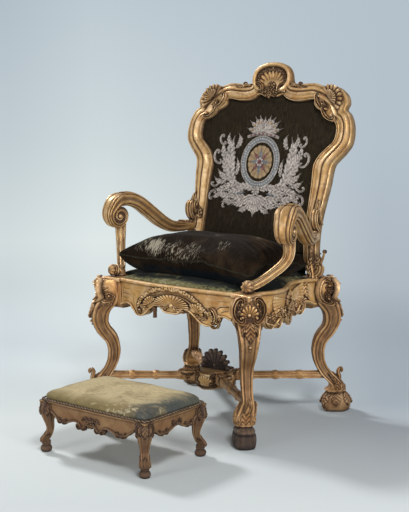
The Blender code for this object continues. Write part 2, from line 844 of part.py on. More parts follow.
def make_stretchers(parent):
    """Four fluted bars with ring collars, from the ankles to the flats of the hub."""
    for side, side_word in ((-1, "left"), (1, "right")):
        for end, end_word in ((-1, "front"), (1, "back")):
            leg = chair_leg(side, end)
            ankle = leg.corner.copy()
            ankle.z = stretcher_height
            way = Vector((ankle.x, ankle.y, 0)).normalized()
            start = way * (hub_reach + joint_gap)
            start.z = stretcher_height
            aside = Vector((-way.y, way.x, 0))
            section = rounded_section(stretcher_half_thickness, stretcher_half_thickness, stretcher_sides)
            offsets = [aside * wide + Vector((0, 0, rise)) for rise, wide in section]
            rings = []
            for along, size_share in stretcher_shares:
                centre = ankle.lerp(start, along)
                rings.append([centre + offset * size_share for offset in offsets])
            piece = add_piece(f"{end_word}_{side_word}_stretcher", loft(rings), "gilt", parent)
            combine(piece, leg_body(leg, joint_gap), "DIFFERENCE")
            keep_one_body(piece, lambda vert: vert.co.xy.length)


def keep_one_body(piece, measure):
    """Keeps the body that holds the point of least measure, and drops the offcuts of a cut right through."""
    bm = bmesh.new()
    bm.from_mesh(piece.data)
    stack = [min(bm.verts, key=measure)]
    body = set(stack)
    while stack:
        for edge in stack.pop().link_edges:
            for vert in edge.verts:
                if vert not in body:
                    body.add(vert)
                    stack.append(vert)
    bmesh.ops.delete(bm, geom=[vert for vert in bm.verts if vert not in body], context="VERTS")
    bm.to_mesh(piece.data)
    bm.free()


def hub_outline():
    """The hub in plan: a flat for each stretcher and a lobe between each pair."""
    ways = []
    for side, end in ((1, -1), (1, 1), (-1, 1), (-1, -1)):
        corner = chair_leg(side, end).corner
        ways.append(math.atan2(corner.y, corner.x) % full_turn)
    ways.sort()
    outline = []
    flat_half_angle = math.atan2(hub_flat_half_width, hub_reach)
    flat_corner = math.hypot(hub_flat_half_width, hub_reach)
    for index, way in enumerate(ways):
        following = ways[(index + 1) % len(ways)]
        gap = (following - way) % full_turn
        for angle in (way - flat_half_angle, way + flat_half_angle):
            outline.append((flat_corner * math.cos(angle), flat_corner * math.sin(angle)))
        for share in hub_lobe_shares:
            angle = way + flat_half_angle + (gap - 2 * flat_half_angle) * share
            outline.append((hub_lobe_reach * math.cos(angle), hub_lobe_reach * math.sin(angle)))
    return outline


def make_hub(parent):
    outline = hub_outline()
    rings = []
    for level, size_share in hub_level_shares:
        height = hub_bottom + hub_height * level
        rings.append([Vector((x * size_share, y * size_share, height)) for x, y in outline])
    add_piece("stretcher_hub", loft(rings), "gilt", parent)


def make_shell(parent):
    """The upright scallop shell on the hub: a ribbed fan, hollow in front and full behind."""
    base = hub_bottom + hub_height + joint_gap
    rings = []
    for column in range(shell_columns + 1):
        along = column / shell_columns
        angle = math.pi * along
        wave = abs(math.sin(math.pi * shell_ribs * along))
        rim = shell_radius * math.cos(angle) ** 2 + shell_rise * math.sin(angle) ** 2
        rim *= shell_rim_share + (1 - shell_rim_share) * wave
        low, high, rear = (rim * share for share in shell_ring_shares)
        ring = []
        for radius, forward in (
            (shell_eye, shell_thickness / 2 + shell_hollow / 2),
            (low, shell_thickness / 2),
            (high, shell_thickness / 4 + shell_rib * wave),
            (rim, shell_thickness / 2 + shell_rib * wave),
            (rim, shell_thickness / 4),
            (rear, -shell_thickness / 4),
            (shell_eye, -shell_thickness / 2),
        ):
            ring.append(Vector((radius * math.cos(angle), -forward, base + radius * math.sin(angle))))
        rings.append(ring)
    add_piece("shell_finial", loft(rings), "worn_gilt", parent)


def frame_stations():
    """Places along one side of the back frame: outer and inner edge, and how far the carving swells."""
    stations = []
    for outer_x, outer_z, inner_x, inner_z, swell in smooth_through(frame_outline_shares, frame_steps):
        stations.append(
            (
                outer_x * back_half_width,
                seat_height + outer_z * back_rise,
                inner_x * back_half_width,
                seat_height + inner_z * back_rise,
                max(swell, 0),
            )
        )
    return stations


def frame_ring(station, side):
    outer_x, outer_z, inner_x, inner_z, swell = station
    ring = []
    for across, rise, full in frame_section_shares:
        x = inner_x + (outer_x - inner_x) * across
        height = inner_z + (outer_z - inner_z) * across
        forward = frame_depth * (rise + frame_swell_share * swell * full)
        ring.append(back_point(side * x, height, forward))
    return ring


def shift_ring(ring, offset):
    return [point + offset for point in ring]


def level_ring(ring, following, height):
    """The ring carried along its piece to a level face at a height."""
    levelled = []
    for point, other in zip(ring, following):
        along = (other - point).normalized()
        levelled.append(point + along * (height - point.z) / along.z)
    return levelled


def split_stations():
    stations = frame_stations()
    cut = crest_last_station * frame_steps + frame_steps // 2
    return stations[: cut + 1], stations[cut:]


def make_back_frame(parent):
    """The crest rail and two stiles, parted at the necks, and the lower rail between the stiles."""
    crest, stile = split_stations()
    apart = Vector(back_point(crest[-1][0], crest[-1][1], 0) - back_point(crest[-2][0], crest[-2][1], 0))
    apart = apart.normalized() * joint_gap
    rings = [frame_ring(station, -1) for station in reversed(crest[1:])]
    rings += [frame_ring(station, 1) for station in crest]
    mirrored = Vector((-apart.x, apart.y, apart.z))
    rings[0] = shift_ring(rings[0], -mirrored)
    rings[-1] = shift_ring(rings[-1], -apart)
    add_piece("crest_rail", loft(rings), "gilt", parent)
    for side, word in ((-1, "left"), (1, "right")):
        rings = [frame_ring(station, side) for station in stile]
        rings[-1] = level_ring(rings[-1], rings[-2], seat_height + joint_gap)
        add_piece(f"{word}_stile", loft(rings), "gilt", parent)
    make_lower_rail(stile, parent)


def inner_edge_at(stations, height):
    """Half the width between the stiles at a height."""
    for upper, lower in zip(stations, stations[1:]):
        if lower[3] <= height <= upper[3]:
            share = (height - lower[3]) / (upper[3] - lower[3])
            return lower[2] + (upper[2] - lower[2]) * share
    return stations[-1][2]


def make_lower_rail(stile, parent):
    """The lower rail, a loft through levels whose ends follow the curling inner edges of the stiles."""
    top = lower_rail_bottom + lower_rail_height
    levels = [lower_rail_bottom, top]
    levels += [station[3] for station in stile if lower_rail_bottom < station[3] < top]
    rear = frame_depth * frame_section_shares[0][1]
    rings = []
    for height in sorted(levels):
        reach = inner_edge_at(stile, height) - panel_gap
        rings.append(
            [
                back_point(-reach, height, 0), back_point(reach, height, 0),
                back_point(reach, height, rear), back_point(-reach, height, rear),
            ]
        )
    add_piece("lower_back_rail", loft(rings), "beech", parent)


def panel_outline():
    """The opening of the back frame, anticlockwise from the middle of its lower edge."""
    bottom = lower_rail_bottom + lower_rail_height
    stations = frame_stations()
    right = [(inner_edge_at(stations, bottom), bottom)]
    right += [(station[2], station[3]) for station in reversed(stations) if station[3] > bottom]
    left = [(-x, z) for x, z in reversed(right) if x > 0]
    return [(0, bottom)] + right + left


def panel_body(outline, back, front):
    return loft([[back_point(x, z, forward) for x, z in outline] for forward in (back, front)])


def shrink_panel(outline, share):
    middle = lower_rail_bottom + (seat_height + back_rise - lower_rail_bottom) / 2
    return [(x * share, middle + (z - middle) * share) for x, z in outline]


def make_upholstered_back(parent):
    """The velvet panel, the strainer frame behind it, the rear cover and the raised embroidery."""
    outline = inset_outline(panel_outline(), panel_gap)
    front_edge = -back_pad_edge_depth
    crown = front_edge + back_pad_crown
    pad_back = front_edge - back_pad_thickness
    rings = [[back_point(x, z, pad_back) for x, z in outline], [back_point(x, z, front_edge) for x, z in outline]]
    for size_share, rise_share in back_crown_shares:
        level = front_edge + back_pad_crown * rise_share
        rings.append([back_point(x, z, level) for x, z in shrink_panel(outline, size_share)])
    add_piece("back_panel", loft(rings), "velvet", parent)
    frame_front = pad_back - joint_gap
    frame_back = frame_front - back_frame_thickness
    rings = []
    strainer = inset_outline(outline[::2], strainer_gap)
    opening = shrink_panel(strainer, back_frame_share)
    for outer, inner in zip(strainer, opening):
        rings.append(
            [
                back_point(*outer, frame_back), back_point(*outer, frame_front),
                back_point(*inner, frame_front), back_point(*inner, frame_back),
            ]
        )
    add_piece("back_strainer", loft(rings, closed=True), "beech", parent)
    cover_front = frame_back - joint_gap
    cover = panel_body(outline, cover_front - back_cover_thickness, cover_front)
    add_piece("back_cover", cover, "lining", parent)
    right = [
        (x * embroidery_half_width, embroidery_bottom + z * embroidery_height)
        for x, z in smooth_through(embroidery_outline_shares, pattern_steps)
    ]
    pattern = right + [(-x, z) for x, z in reversed(right) if x > 0]
    stitched = panel_body(pattern, crown + joint_gap, crown + joint_gap + embroidery_thickness)
    add_piece("back_embroidery", stitched, "thread", parent)


def arm_axes(side):
    """Start, level forward way and sideways way of the upright plane that an arm lies in."""
    start = Vector((side * arm_joint_half_width, back_depth(arm_joint_height), arm_joint_height))
    forward = Vector((side * arm_splay / arm_reach, -1, 0))
    sideways = Vector((side, arm_splay / arm_reach, 0)).normalized()
    return start, forward, sideways


def arm_rings(side):
    start, forward, sideways = arm_axes(side)
    level = forward.normalized()
    path = smooth_through(arm_path_shares, arm_steps)
    centres = [start + forward * (u * arm_reach) + Vector((0, 0, v * arm_rise)) for u, v, _ in path]
    rings = []
    for index, centre in enumerate(centres):
        way = centres[min(index + 1, len(centres) - 1)] - centres[max(index - 1, 0)]
        way.normalize()
        up = level * -way.z + Vector((0, 0, way.dot(level)))
        half_up = path[index][2] * arm_thickness
        ring = []
        for rise, aside in rounded_section(half_up, arm_half_width, arm_sides):
            ring.append(centre + up * rise + sideways * aside)
        rings.append(ring)
    return rings


def seat_on_back(ring, following):
    """Carries the rear ring of an arm to the front ridge of the stile."""
    ridge = frame_depth * frame_ridge_share + joint_gap
    normal = Vector((0, -math.cos(back_recline), math.sin(back_recline)))
    seated = []
    for point, other in zip(ring, following):
        along = (other - point).normalized()
        plane = back_point(0, arm_joint_height, ridge)
        seated.append(point + along * (plane - point).dot(normal) / along.dot(normal))
    return seated


def volute_body(side, grow=0):
    """The rolled end of an arm: a drum whose two faces wind in a spiral step to its eye."""
    start, forward, sideways = arm_axes(side)
    reach, rise = volute_centre_shares
    centre = start + forward * (reach * arm_reach) + Vector((0, 0, rise * arm_rise))
    level = forward.normalized()
    rings = []
    for face in (-1, 1):
        for radius_share in volute_ring_shares[::-face]:
            ring = []
            for index in range(volute_sides):
                turn = index / volute_sides
                angle = full_turn * turn
                phase = (turn + volute_turns * (1 - radius_share)) % 1
                relief = 0 if grow or radius_share == 1 else volute_relief * (phase - 0.5)
                radius = volute_radius * radius_share + grow
                out = face * (volute_half_width + grow + relief)
                point = centre + level * radius * math.cos(angle) + Vector((0, 0, radius * math.sin(angle)))
                ring.append(point + sideways * out)
            rings.append(ring)
    return loft(rings)


def make_arms(parent):
    for side, word in ((-1, "left"), (1, "right")):
        rings = arm_rings(side)
        rings[0] = seat_on_back(rings[0], rings[1])
        piece = add_piece(f"{word}_arm", loft(rings), "gilt", parent)
        combine(piece, volute_body(side), "UNION")


def support_rings(side):
    """The scrolled support as a sweep from under the volute forward, inward and down to the seat's corner."""
    start, forward, sideways = arm_axes(side)
    top = start + forward * (arm_reach * (volute_centre_shares[0] - support_top_share * volute_radius / arm_reach))
    foot = Vector((side * support_foot_half_width, -support_foot_reach, 0))
    run = Vector((top.x - foot.x, top.y - foot.y, 0))
    level = run.normalized()
    aside_way = Vector((-level.y, level.x, 0))
    path = smooth_through(support_path_shares, support_steps)
    centres = [foot + run * u + Vector((0, 0, seat_height + v * support_rise)) for u, v, _ in path]
    rings = []
    for index, centre in enumerate(centres):
        way = centres[min(index + 1, len(centres) - 1)] - centres[max(index - 1, 0)]
        way.normalize()
        up = level * -way.z + Vector((0, 0, way.dot(level)))
        half = path[index][2] * support_half_thickness
        ring = []
        for rise, aside in rounded_section(half, half, arm_sides):
            ring.append(centre + up * rise + aside_way * aside)
        rings.append(ring)
    return rings, foot


def make_supports(parent):
    for side, word in ((-1, "left"), (1, "right")):
        rings, foot = support_rings(side)
        piece = add_piece(f"{word}_arm_support", loft(rings), "gilt", parent)
        outline = []
        for index in range(arm_sides):
            angle = full_turn * index / arm_sides
            outline.append(
                (
                    foot.x + support_foot_radius * math.cos(angle),
                    foot.y + support_foot_radius * math.sin(angle),
                )
            )
        bottom = seat_height + joint_gap
        combine(piece, prism(outline, bottom, bottom + support_foot_height), "UNION")
        combine(piece, volute_body(side, joint_gap), "DIFFERENCE")
        combine(piece, loft(arm_rings(side)), "DIFFERENCE")
        keep_one_body(piece, lambda vert: vert.co.z)


def seat_deck_top():
    edge = seat_height - rail_rabbet + 3 * joint_gap + seat_frame_thickness + webbing_thickness
    return edge + seat_pad_edge + seat_pad_crown


def make_cushion(parent):
    """A crowned cushion with pointed corners and drawn-in sides, flat where it lies on the seat."""
    seam = cloth_gap + cushion_drop
    middle_depth = (cushion_back_reach - cushion_front_reach) / 2
    half_depth = (cushion_back_reach + cushion_front_reach) / 2

    def place(u, v, face):
        pulled_x = cushion_half_width - cushion_pull * (1 - v * v)
        pulled_y = half_depth - cushion_pull * (1 - u * u)
        flatness, rounding, spread = cushion_fullness_powers
        fullness = ((1 - abs(u) ** flatness) * (1 - abs(v) ** flatness)) ** rounding
        tip = 0
        for (corner_u, corner_v), share in cushion_tip_shares.items():
            near = max(u * corner_u, 0) ** 3 * max(v * corner_v, 0) ** 3
            tip += cushion_corner_lift * share * near
        height = seam + tip
        if face > 0:
            height += cushion_rise * fullness
        else:
            drop = seam + cushion_drop * cushion_underside_share
            height = max(height - drop * fullness**spread, cloth_gap)
        return Vector((u * pulled_x, middle_depth + v * pulled_y, height))

    bm = bmesh.new()
    edge_verts = {}

    def vert_at(i, j, face):
        on_edge = i in (0, cushion_columns) or j in (0, cushion_rows)
        key = (i, j) if on_edge else (i, j, face)
        if key not in edge_verts:
            u = math.sin(math.pi / 2 * (2 * i / cushion_columns - 1))
            v = math.sin(math.pi / 2 * (2 * j / cushion_rows - 1))
            edge_verts[key] = bm.verts.new(place(u, v, face))
        return edge_verts[key]

    for i in range(cushion_columns):
        for j in range(cushion_rows):
            for face in (-1, 1):
                corners = [(i, j), (i + 1, j), (i + 1, j + 1), (i, j + 1)]
                bm.faces.new([vert_at(*corner, face) for corner in corners[::face]])
    bmesh.ops.recalc_face_normals(bm, faces=bm.faces)
    add_piece("cushion", bm, "velvet", parent)


def stool_side_at(depth):
    return stool_half_length


def make_stool_rails(parent):
    reach_x = stool_half_length - stool_stump_size - joint_gap
    reach_y = stool_half_width - stool_stump_size - joint_gap
    bow = centred_bow(stool_rail_bow)
    for end, word in ((-1, "front"), (1, "back")):
        rail = Rail(
            Vector((-reach_x, end * stool_half_width, 0)), Vector((reach_x, end * stool_half_width, 0)),
            Vector((0, end, 0)), stool_height, stool_rail_drop, bow, centred_drop(stool_long_drop_shares),
            stool_rail_sizes, stool_rail_stations, stool_rail_stations,
        )
        make_rail(f"stool_{word}_rail", rail, "gilt", parent)
    for side, word in ((-1, "left"), (1, "right")):
        rail = Rail(
            Vector((side * stool_half_length, -reach_y, 0)), Vector((side * stool_half_length, reach_y, 0)),
            Vector((side, 0, 0)), stool_height, stool_rail_drop, bow, centred_drop(stool_short_drop_shares),
            stool_rail_sizes, stool_rail_stations // 2, stool_rail_stations // 2,
        )
        make_rail(f"stool_{word}_rail", rail, "gilt", parent)


def stool_frame_outline():
    inset = stool_rail_lip + joint_gap
    x_out, y_out = stool_half_length - inset, stool_half_width - inset
    x_in = stool_half_length - stool_stump_size - joint_gap
    y_in = stool_half_width - stool_stump_size - joint_gap
    quarter = [(0, y_out), (x_in / 2, y_out), (x_in, y_out), (x_in, y_in), (x_out, y_in), (x_out, 0)]
    half = [(x, -y) for x, y in quarter] + quarter[-2::-1]
    return half + [(-x, y) for x, y in reversed(half) if x > 0]


def make_stool_top(parent):
    ledge = stool_height - stool_rail_rabbet + joint_gap
    frame_top = ledge + stool_frame_thickness
    outline = stool_frame_outline()
    half_x = stool_half_length - stool_stump_size - stool_frame_width / 2
    half_y = stool_half_width - stool_stump_size - stool_frame_width / 2
    opening = seat_opening(outline, half_x, half_y)
    add_piece("stool_frame", frame_ring_body(outline, opening, ledge, frame_top), "beech", parent)
    lattice = strap_lattice(
        half_x + stool_frame_width / 4, half_y + stool_frame_width / 4, stool_strap_width, stool_strap_space,
        frame_top + joint_gap, stool_webbing_thickness,
    )
    add_piece("stool_webbing", lattice, "webbing", parent)
    bottom = stool_height + joint_gap
    outline = rounded_section(
        stool_half_length - stool_pad_margin, stool_half_width - stool_pad_margin, stool_pad_sides,
        stool_pad_softness_share,
    )
    pad = domed_pad(outline, bottom, bottom + stool_pad_edge, stool_pad_crown, stool_crown_shares)
    add_piece("stool_pad", pad, "stool_velvet", parent)


def make_chair(parent):
    legs = {}
    for side, side_word in ((-1, "left"), (1, "right")):
        for end, end_word in ((-1, "front"), (1, "back")):
            leg = chair_leg(side, end)
            legs[side, end] = make_leg(f"{end_word}_{side_word}_leg", leg, "gilt", parent)
            make_foot(f"{end_word}_{side_word}_foot", leg, parent)
    make_seat_rails(parent, legs)
    make_slip_seat(parent)
    reaches = {-1: seat_front_reach, 1: seat_back_reach}
    end_sizes = {-1: chair_rail_sizes["front"], 1: chair_rail_sizes["back"]}
    make_braces(
        "seat_", seat_side_at, reaches.get, stump_size, (chair_rail_sizes["side"], end_sizes), brace_reach,
        brace_width, brace_height, seat_height - rail_rabbet - joint_gap, parent,
    )
    make_stretchers(parent)
    make_hub(parent)
    make_shell(parent)
    make_back_frame(parent)
    make_upholstered_back(parent)
    make_arms(parent)
    make_supports(parent)


def make_stool(parent):
    for side, side_word in ((-1, "left"), (1, "right")):
        for end, end_word in ((-1, "front"), (1, "back")):
            make_leg(f"stool_{end_word}_{side_word}_leg", stool_leg(side, end), "gilt", parent)
    make_stool_rails(parent)
    make_stool_top(parent)
    sizes = (stool_rail_sizes, {-1: stool_rail_sizes, 1: stool_rail_sizes})
    make_braces(
        "stool_", stool_side_at, lambda end: stool_half_width, stool_stump_size, sizes, stool_brace_reach,
        stool_brace_width, stool_brace_height, stool_height - stool_rail_rabbet - joint_gap, parent,
    )


def centre_on_floor(bases):
    """Slides everything along Y so that the origin is under the middle of the whole."""
    bpy.context.view_layer.update()
    reaches = [
        (item.matrix_world @ vert.co).y
        for item in bpy.data.objects
        if item.type == "MESH"
        for vert in item.data.vertices
    ]
    middle = (min(reaches) + max(reaches)) / 2
    for base in bases:
        base.location.y -= middle
    bpy.context.view_layer.update()


def main():
    clear_scene()
    chair = add_base("chair_base", (0, 0, 0))
    cushion = add_base("cushion_base", (0, 0, seat_deck_top()))
    stool = add_base("footstool_base", (stool_offset_side, -stool_offset_front, 0))
    make_chair(chair)
    make_cushion(cushion)
    make_stool(stool)
    centre_on_floor((chair, cushion, stool))
    print("middle of the chair lies at Y", round(chair.location.y, 4))


main()
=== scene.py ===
"""Looks for a carved and gilded armchair with its cushion and footstool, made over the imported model."""

import math

import bmesh
import bpy
import numpy as np
from mathutils import Matrix, Vector


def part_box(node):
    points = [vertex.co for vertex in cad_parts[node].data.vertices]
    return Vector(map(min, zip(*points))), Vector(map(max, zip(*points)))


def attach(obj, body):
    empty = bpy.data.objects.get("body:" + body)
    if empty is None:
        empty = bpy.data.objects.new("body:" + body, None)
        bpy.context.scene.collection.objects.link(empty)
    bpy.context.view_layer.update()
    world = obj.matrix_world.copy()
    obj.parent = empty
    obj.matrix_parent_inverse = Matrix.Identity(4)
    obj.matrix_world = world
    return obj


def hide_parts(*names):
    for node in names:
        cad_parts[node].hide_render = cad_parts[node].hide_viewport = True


bl_info = {
    "name": "Carved Armchair",
    "version": (1, 0, 0),
    "blender": (4, 5, 0),
    "location": "View3D > Sidebar > Armchair",
    "description": "Makes the carved frame, upholstery and footstool of a gilded armchair, and its stage",
    "category": "Object",
}

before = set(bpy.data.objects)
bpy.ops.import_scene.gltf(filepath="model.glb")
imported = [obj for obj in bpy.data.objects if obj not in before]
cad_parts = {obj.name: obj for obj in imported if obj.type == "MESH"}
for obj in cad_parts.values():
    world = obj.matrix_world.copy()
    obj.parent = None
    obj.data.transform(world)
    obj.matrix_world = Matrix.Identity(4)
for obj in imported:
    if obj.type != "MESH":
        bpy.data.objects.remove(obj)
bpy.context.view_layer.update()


def centre_of(node):
    low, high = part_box(node)
    return (low + high) / 2


hub_centre = centre_of("stretcher_hub")
stool_centre = centre_of("stool_frame")
chair_origin = np.array([hub_centre.x, hub_centre.y, 0.0])
stool_origin = np.array([stool_centre.x, stool_centre.y, 0.0])

# Sizes of the armchair, in metres from the middle of the hub, as the solids have them
seat_height = 0.52
seat_reach = {-1: 0.25, 1: 0.267}
seat_half_width = {-1: 0.332, 1: 0.322}
stump_size = 0.073
leg_swing = 0.10
leg_block = 0.047
rail_drop = 0.13
front_bow = 0.02
side_wave = 0.03
recline = math.radians(13)
back_half_width = 0.39
back_rise = 0.80
back_seat_reach = 0.20
frame_depth = 0.05
panel_bottom = 0.600

leg_table = (
    (0.143, 0.68, 0.06, 0.55), (0.163, 0.73, 0.08, 0.66), (0.192, 0.71, 0.17, 0.72),
    (0.227, 0.56, 0.04, 0.68), (0.260, 0.40, -0.12, 0.59), (0.288, 0.25, -0.24, 0.46),
    (0.327, 0.08, -0.36, 0.43), (0.385, -0.04, -0.48, 0.455), (0.452, -0.065, -0.54, 0.48),
    (0.510, 0.0, -0.51, 0.52), (0.548, 0.16, -0.46, 0.57), (0.587, 0.34, -0.36, 0.62),
    (0.644, 0.48, -0.14, 0.68), (0.694, 0.545, -0.10, 0.755), (0.750, 0.52, -0.18, 0.85),
    (0.812, 0.42, -0.45, 0.96), (0.858, 0.22, -0.50, 0.94), (0.910, 0.32, -0.50, 1.0),
    (0.962, 0.30, -0.50, 0.97), (0.988, 0.18, -0.45, 0.85),
)
stool_leg_table = (
    (0, 0.02, -0.60, 0.57), (0.033, 0.10, -0.68, 0.685), (0.10, 0.10, -0.68, 0.685),
    (0.143, -0.04, -0.56, 0.52), (0.181, 0.06, -0.52, 0.61), (0.231, 0.08, -0.52, 0.61),
    (0.286, -0.04, -0.64, 0.555), (0.357, -0.22, -0.76, 0.535), (0.44, -0.32, -0.84, 0.535),
    (0.522, -0.26, -0.86, 0.61), (0.604, -0.14, -0.86, 0.72), (0.687, -0.02, -0.90, 0.85),
    (0.76, 0.04, -0.80, 0.92), (0.852, 0.04, -0.72, 0.92), (0.934, -0.04, -0.70, 0.88),
    (0.978, -0.16, -0.66, 0.78),
)
front_drops = (
    (0, 0.79), (0.12, 0.77), (0.2, 0.64), (0.28, 0.63), (0.4, 0.76), (0.53, 0.96),
    (0.65, 0.98), (0.74, 0.83), (0.8, 0.72), (0.9, 0.70), (1, 0.77),
)
side_drops = (
    (0, 0.77), (0.08, 0.92), (0.15, 0.98), (0.22, 0.80), (0.29, 0.66), (0.37, 0.88),
    (0.46, 1.05), (0.55, 1.02), (0.63, 0.80), (0.70, 0.86), (0.77, 0.92), (0.84, 0.68),
    (0.92, 0.68), (1, 0.77),
)
back_drops = ((0, 1.15), (0.4, 1.1), (0.75, 0.9), (1, 1))
stool_long_drops = (
    (0, 0.81), (0.1, 0.79), (0.2, 1.0), (0.3, 0.77), (0.42, 0.74), (0.62, 0.91), (0.8, 0.88),
    (0.92, 0.66), (1, 0.55),
)
stool_short_drops = (
    (0, 0.52), (0.12, 0.62), (0.35, 0.78), (0.6, 0.80), (0.8, 0.78), (0.93, 0.6), (1, 0.55),
)
stretcher_table = (
    (0, 1), (0.25, 1), (0.26, 1.3), (0.29, 1.3), (0.30, 1), (0.50, 0.92), (0.51, 1.3),
    (0.54, 1.3), (0.55, 0.95), (0.74, 0.95), (0.80, 1.35), (0.86, 1.1), (0.92, 1.5), (1, 1.45),
)
# Along one side of the back frame: outer edge across and up, inner edge across and up
frame_table = (
    (0, 0.995, 0, 0.84), (0.125, 0.985, 0.065, 0.835), (0.19, 0.955, 0.13, 0.845),
    (0.215, 0.92, 0.16, 0.84), (0.245, 0.900, 0.205, 0.825), (0.333, 0.895, 0.277, 0.815),
    (0.423, 0.898, 0.385, 0.815), (0.526, 0.898, 0.475, 0.822), (0.628, 0.883, 0.53, 0.82),
    (0.69, 0.89, 0.533, 0.798), (0.782, 0.88, 0.577, 0.778), (0.872, 0.846, 0.636, 0.765),
    (0.903, 0.81, 0.672, 0.744), (0.885, 0.78, 0.73, 0.729), (0.93, 0.76, 0.777, 0.722),
    (0.975, 0.72, 0.813, 0.702), (0.995, 0.67, 0.823, 0.662), (0.987, 0.62, 0.80, 0.625),
    (0.936, 0.58, 0.744, 0.60), (0.872, 0.546, 0.672, 0.565), (0.836, 0.525, 0.63, 0.532),
    (0.82, 0.494, 0.615, 0.50), (0.81, 0.425, 0.623, 0.425), (0.774, 0.30, 0.623, 0.304),
    (0.764, 0.225, 0.62, 0.225), (0.769, 0.163, 0.623, 0.163), (0.787, 0.10, 0.646, 0.10),
    (0.80, 0.06, 0.677, 0.057), (0.825, 0.02, 0.71, 0.02), (0.83, 0.001, 0.72, 0.001),
)
crest_end = 19.5
# Across the moulding of the back frame, from its inner to its outer edge: share, forward share, tone
frame_section = (
    (0.0, -0.70, 0.2), (0.0, 0.10, 0.5), (0.02, 0.16, 0.9), (0.06, 0.16, 0.9), (0.08, 0.10, 0.35),
    (0.11, 0.14, 0.85), (0.15, 0.13, 0.8), (0.18, 0.09, 0.75), (0.25, 0.10, 0.9), (0.32, 0.16, 1.0),
    (0.38, 0.26, 1.0), (0.44, 0.30, 0.9), (0.49, 0.26, 0.5), (0.52, 0.19, 0.15), (0.56, 0.20, 0.2),
    (0.60, 0.28, 0.7), (0.67, 0.31, 0.85), (0.74, 0.27, 0.7), (0.80, 0.17, 0.45), (0.86, 0.11, 0.35),
    (0.90, 0.13, 0.6), (0.95, 0.15, 0.8), (0.99, 0.10, 0.7), (1.0, 0.0, 0.5), (1.0, -0.50, 0.3),
    (0.86, -0.70, 0.2),
)
arm_table = (
    (0, 0, 0.33), (0.094, 0, 0.34), (0.20, 0, 0.36), (0.294, 0.048, 0.42), (0.406, 0.224, 0.48),
    (0.548, 0.56, 0.5), (0.681, 0.864, 0.5), (0.788, 0.992, 0.5), (0.87, 1.0, 0.5),
)
# How an arm rolls up: turn in degrees, outer radius, thickness, half width
roll_table = (
    (0, 0.0865, 0.050, 0.0275), (30, 0.0730, 0.042, 0.0330), (60, 0.0600, 0.034, 0.0325),
    (90, 0.0530, 0.027, 0.0295), (135, 0.0475, 0.021, 0.0265), (180, 0.0445, 0.0175, 0.0250),
    (270, 0.0385, 0.0145, 0.0255), (360, 0.0300, 0.0120, 0.0262), (450, 0.0235, 0.0105, 0.0275),
    (540, 0.0175, 0.0085, 0.0285), (630, 0.0125, 0.0070, 0.0295), (720, 0.0085, 0.0060, 0.0305),
)
support_table = (
    (1.02, 1.0, 1.2), (1.03, 0.78, 1.1), (0.98, 0.63, 1.0), (0.83, 0.49, 0.95),
    (0.63, 0.37, 0.9), (0.41, 0.25, 0.88), (0.19, 0.155, 0.85), (0.0, 0.115, 0.85),
)
upward = np.array([0, 0, 1.0])
panel_middle = np.array([0, 0.936])
# Shades of the backdrop, which the floor takes too; the darker ones low at the right paint shade on the floor there
mist, bright, haze, paper = (188, 201, 208), (223, 232, 231), (208, 216, 218), (226, 233, 232)
slate, shaded_slate, shaded_paper, near_floor = (180, 192, 202), (168, 178, 186), (192, 199, 205), (213, 219, 219)


# Curves and surfaces

def through(table, places):
    """The values at some places on the smooth curve through a table whose first column is the place."""
    rows = np.asarray(table, float)
    keys, values = rows[:, 0], rows[:, 1:]
    last = len(keys) - 1
    places = np.clip(np.asarray(places, float), keys[0], keys[-1])
    index = np.clip(np.searchsorted(keys, places, side="right") - 1, 0, last - 1)
    t = ((places - keys[index]) / (keys[index + 1] - keys[index]))[..., None]
    a, b, c, d = (values[np.clip(index + step, 0, last)] for step in (-1, 0, 1, 2))
    return 0.5 * (
        2 * b + (c - a) * t + (2 * a - 5 * b + 4 * c - d) * t**2 + (3 * b - a - 3 * c + d) * t**3
    )


def smooth_path(points, count):
    """A smooth path of count points through the given ones."""
    keyed = [(index, *point) for index, point in enumerate(points)]
    return through(keyed, np.linspace(0, len(points) - 1, count))


def even(path, count):
    """The path read again at even steps along its length."""
    path = np.asarray(path, float)
    steps = np.concatenate([[0], np.cumsum(np.linalg.norm(np.diff(path, axis=0), axis=1))])
    places = np.linspace(0, steps[-1], count)
    return np.stack([np.interp(places, steps, column) for column in path.T], axis=1)


def drawn(points, count, fine=60):
    """A smooth path of count even steps through points that are given in one row, two numbers each."""
    return even(smooth_path(np.reshape(points, (-1, 2)), fine), count)


def unit(vectors):
    return vectors / np.maximum(np.linalg.norm(vectors, axis=-1, keepdims=True), 1e-12)


def ease(share):
    share = np.clip(share, 0, 1)
    return share * share * (3 - 2 * share)


def bump(value, middle, width):
    return np.exp(-(((value - middle) / width) ** 2))


def soft_square(angle, softness):
    cosine, sine = np.cos(angle), np.sin(angle)
    return np.sign(cosine) * np.abs(cosine) ** softness, np.sign(sine) * np.abs(sine) ** softness


def turns(count, start=0.0):
    """The angles of count even steps once round."""
    return 2 * np.pi * (np.arange(count) + start) / count


def stacked(x, y, z):
    return np.stack(np.broadcast_arrays(x, y, z), axis=-1)


def span(origin, ways, reaches):
    """Points that lie some reaches along three ways from an origin."""
    for way, reach in zip(ways, np.broadcast_arrays(*reaches)):
        origin = origin + np.asarray(way) * np.asarray(reach, float)[..., None]
    return origin


def surface(shape):
    """Makes a surface of a function that gives x, y and z for a place along it, a place up it and a height."""
    def place(u, v, h):
        return stacked(*shape(np.asarray(u, float), np.asarray(v, float), np.asarray(h, float)))
    return place


def mirrored(place, sign, middle=0.0):
    """A surface whose places along it are counted from the middle, backwards where sign is -1."""
    return lambda u, v, h: place(middle + sign * u, v, h)


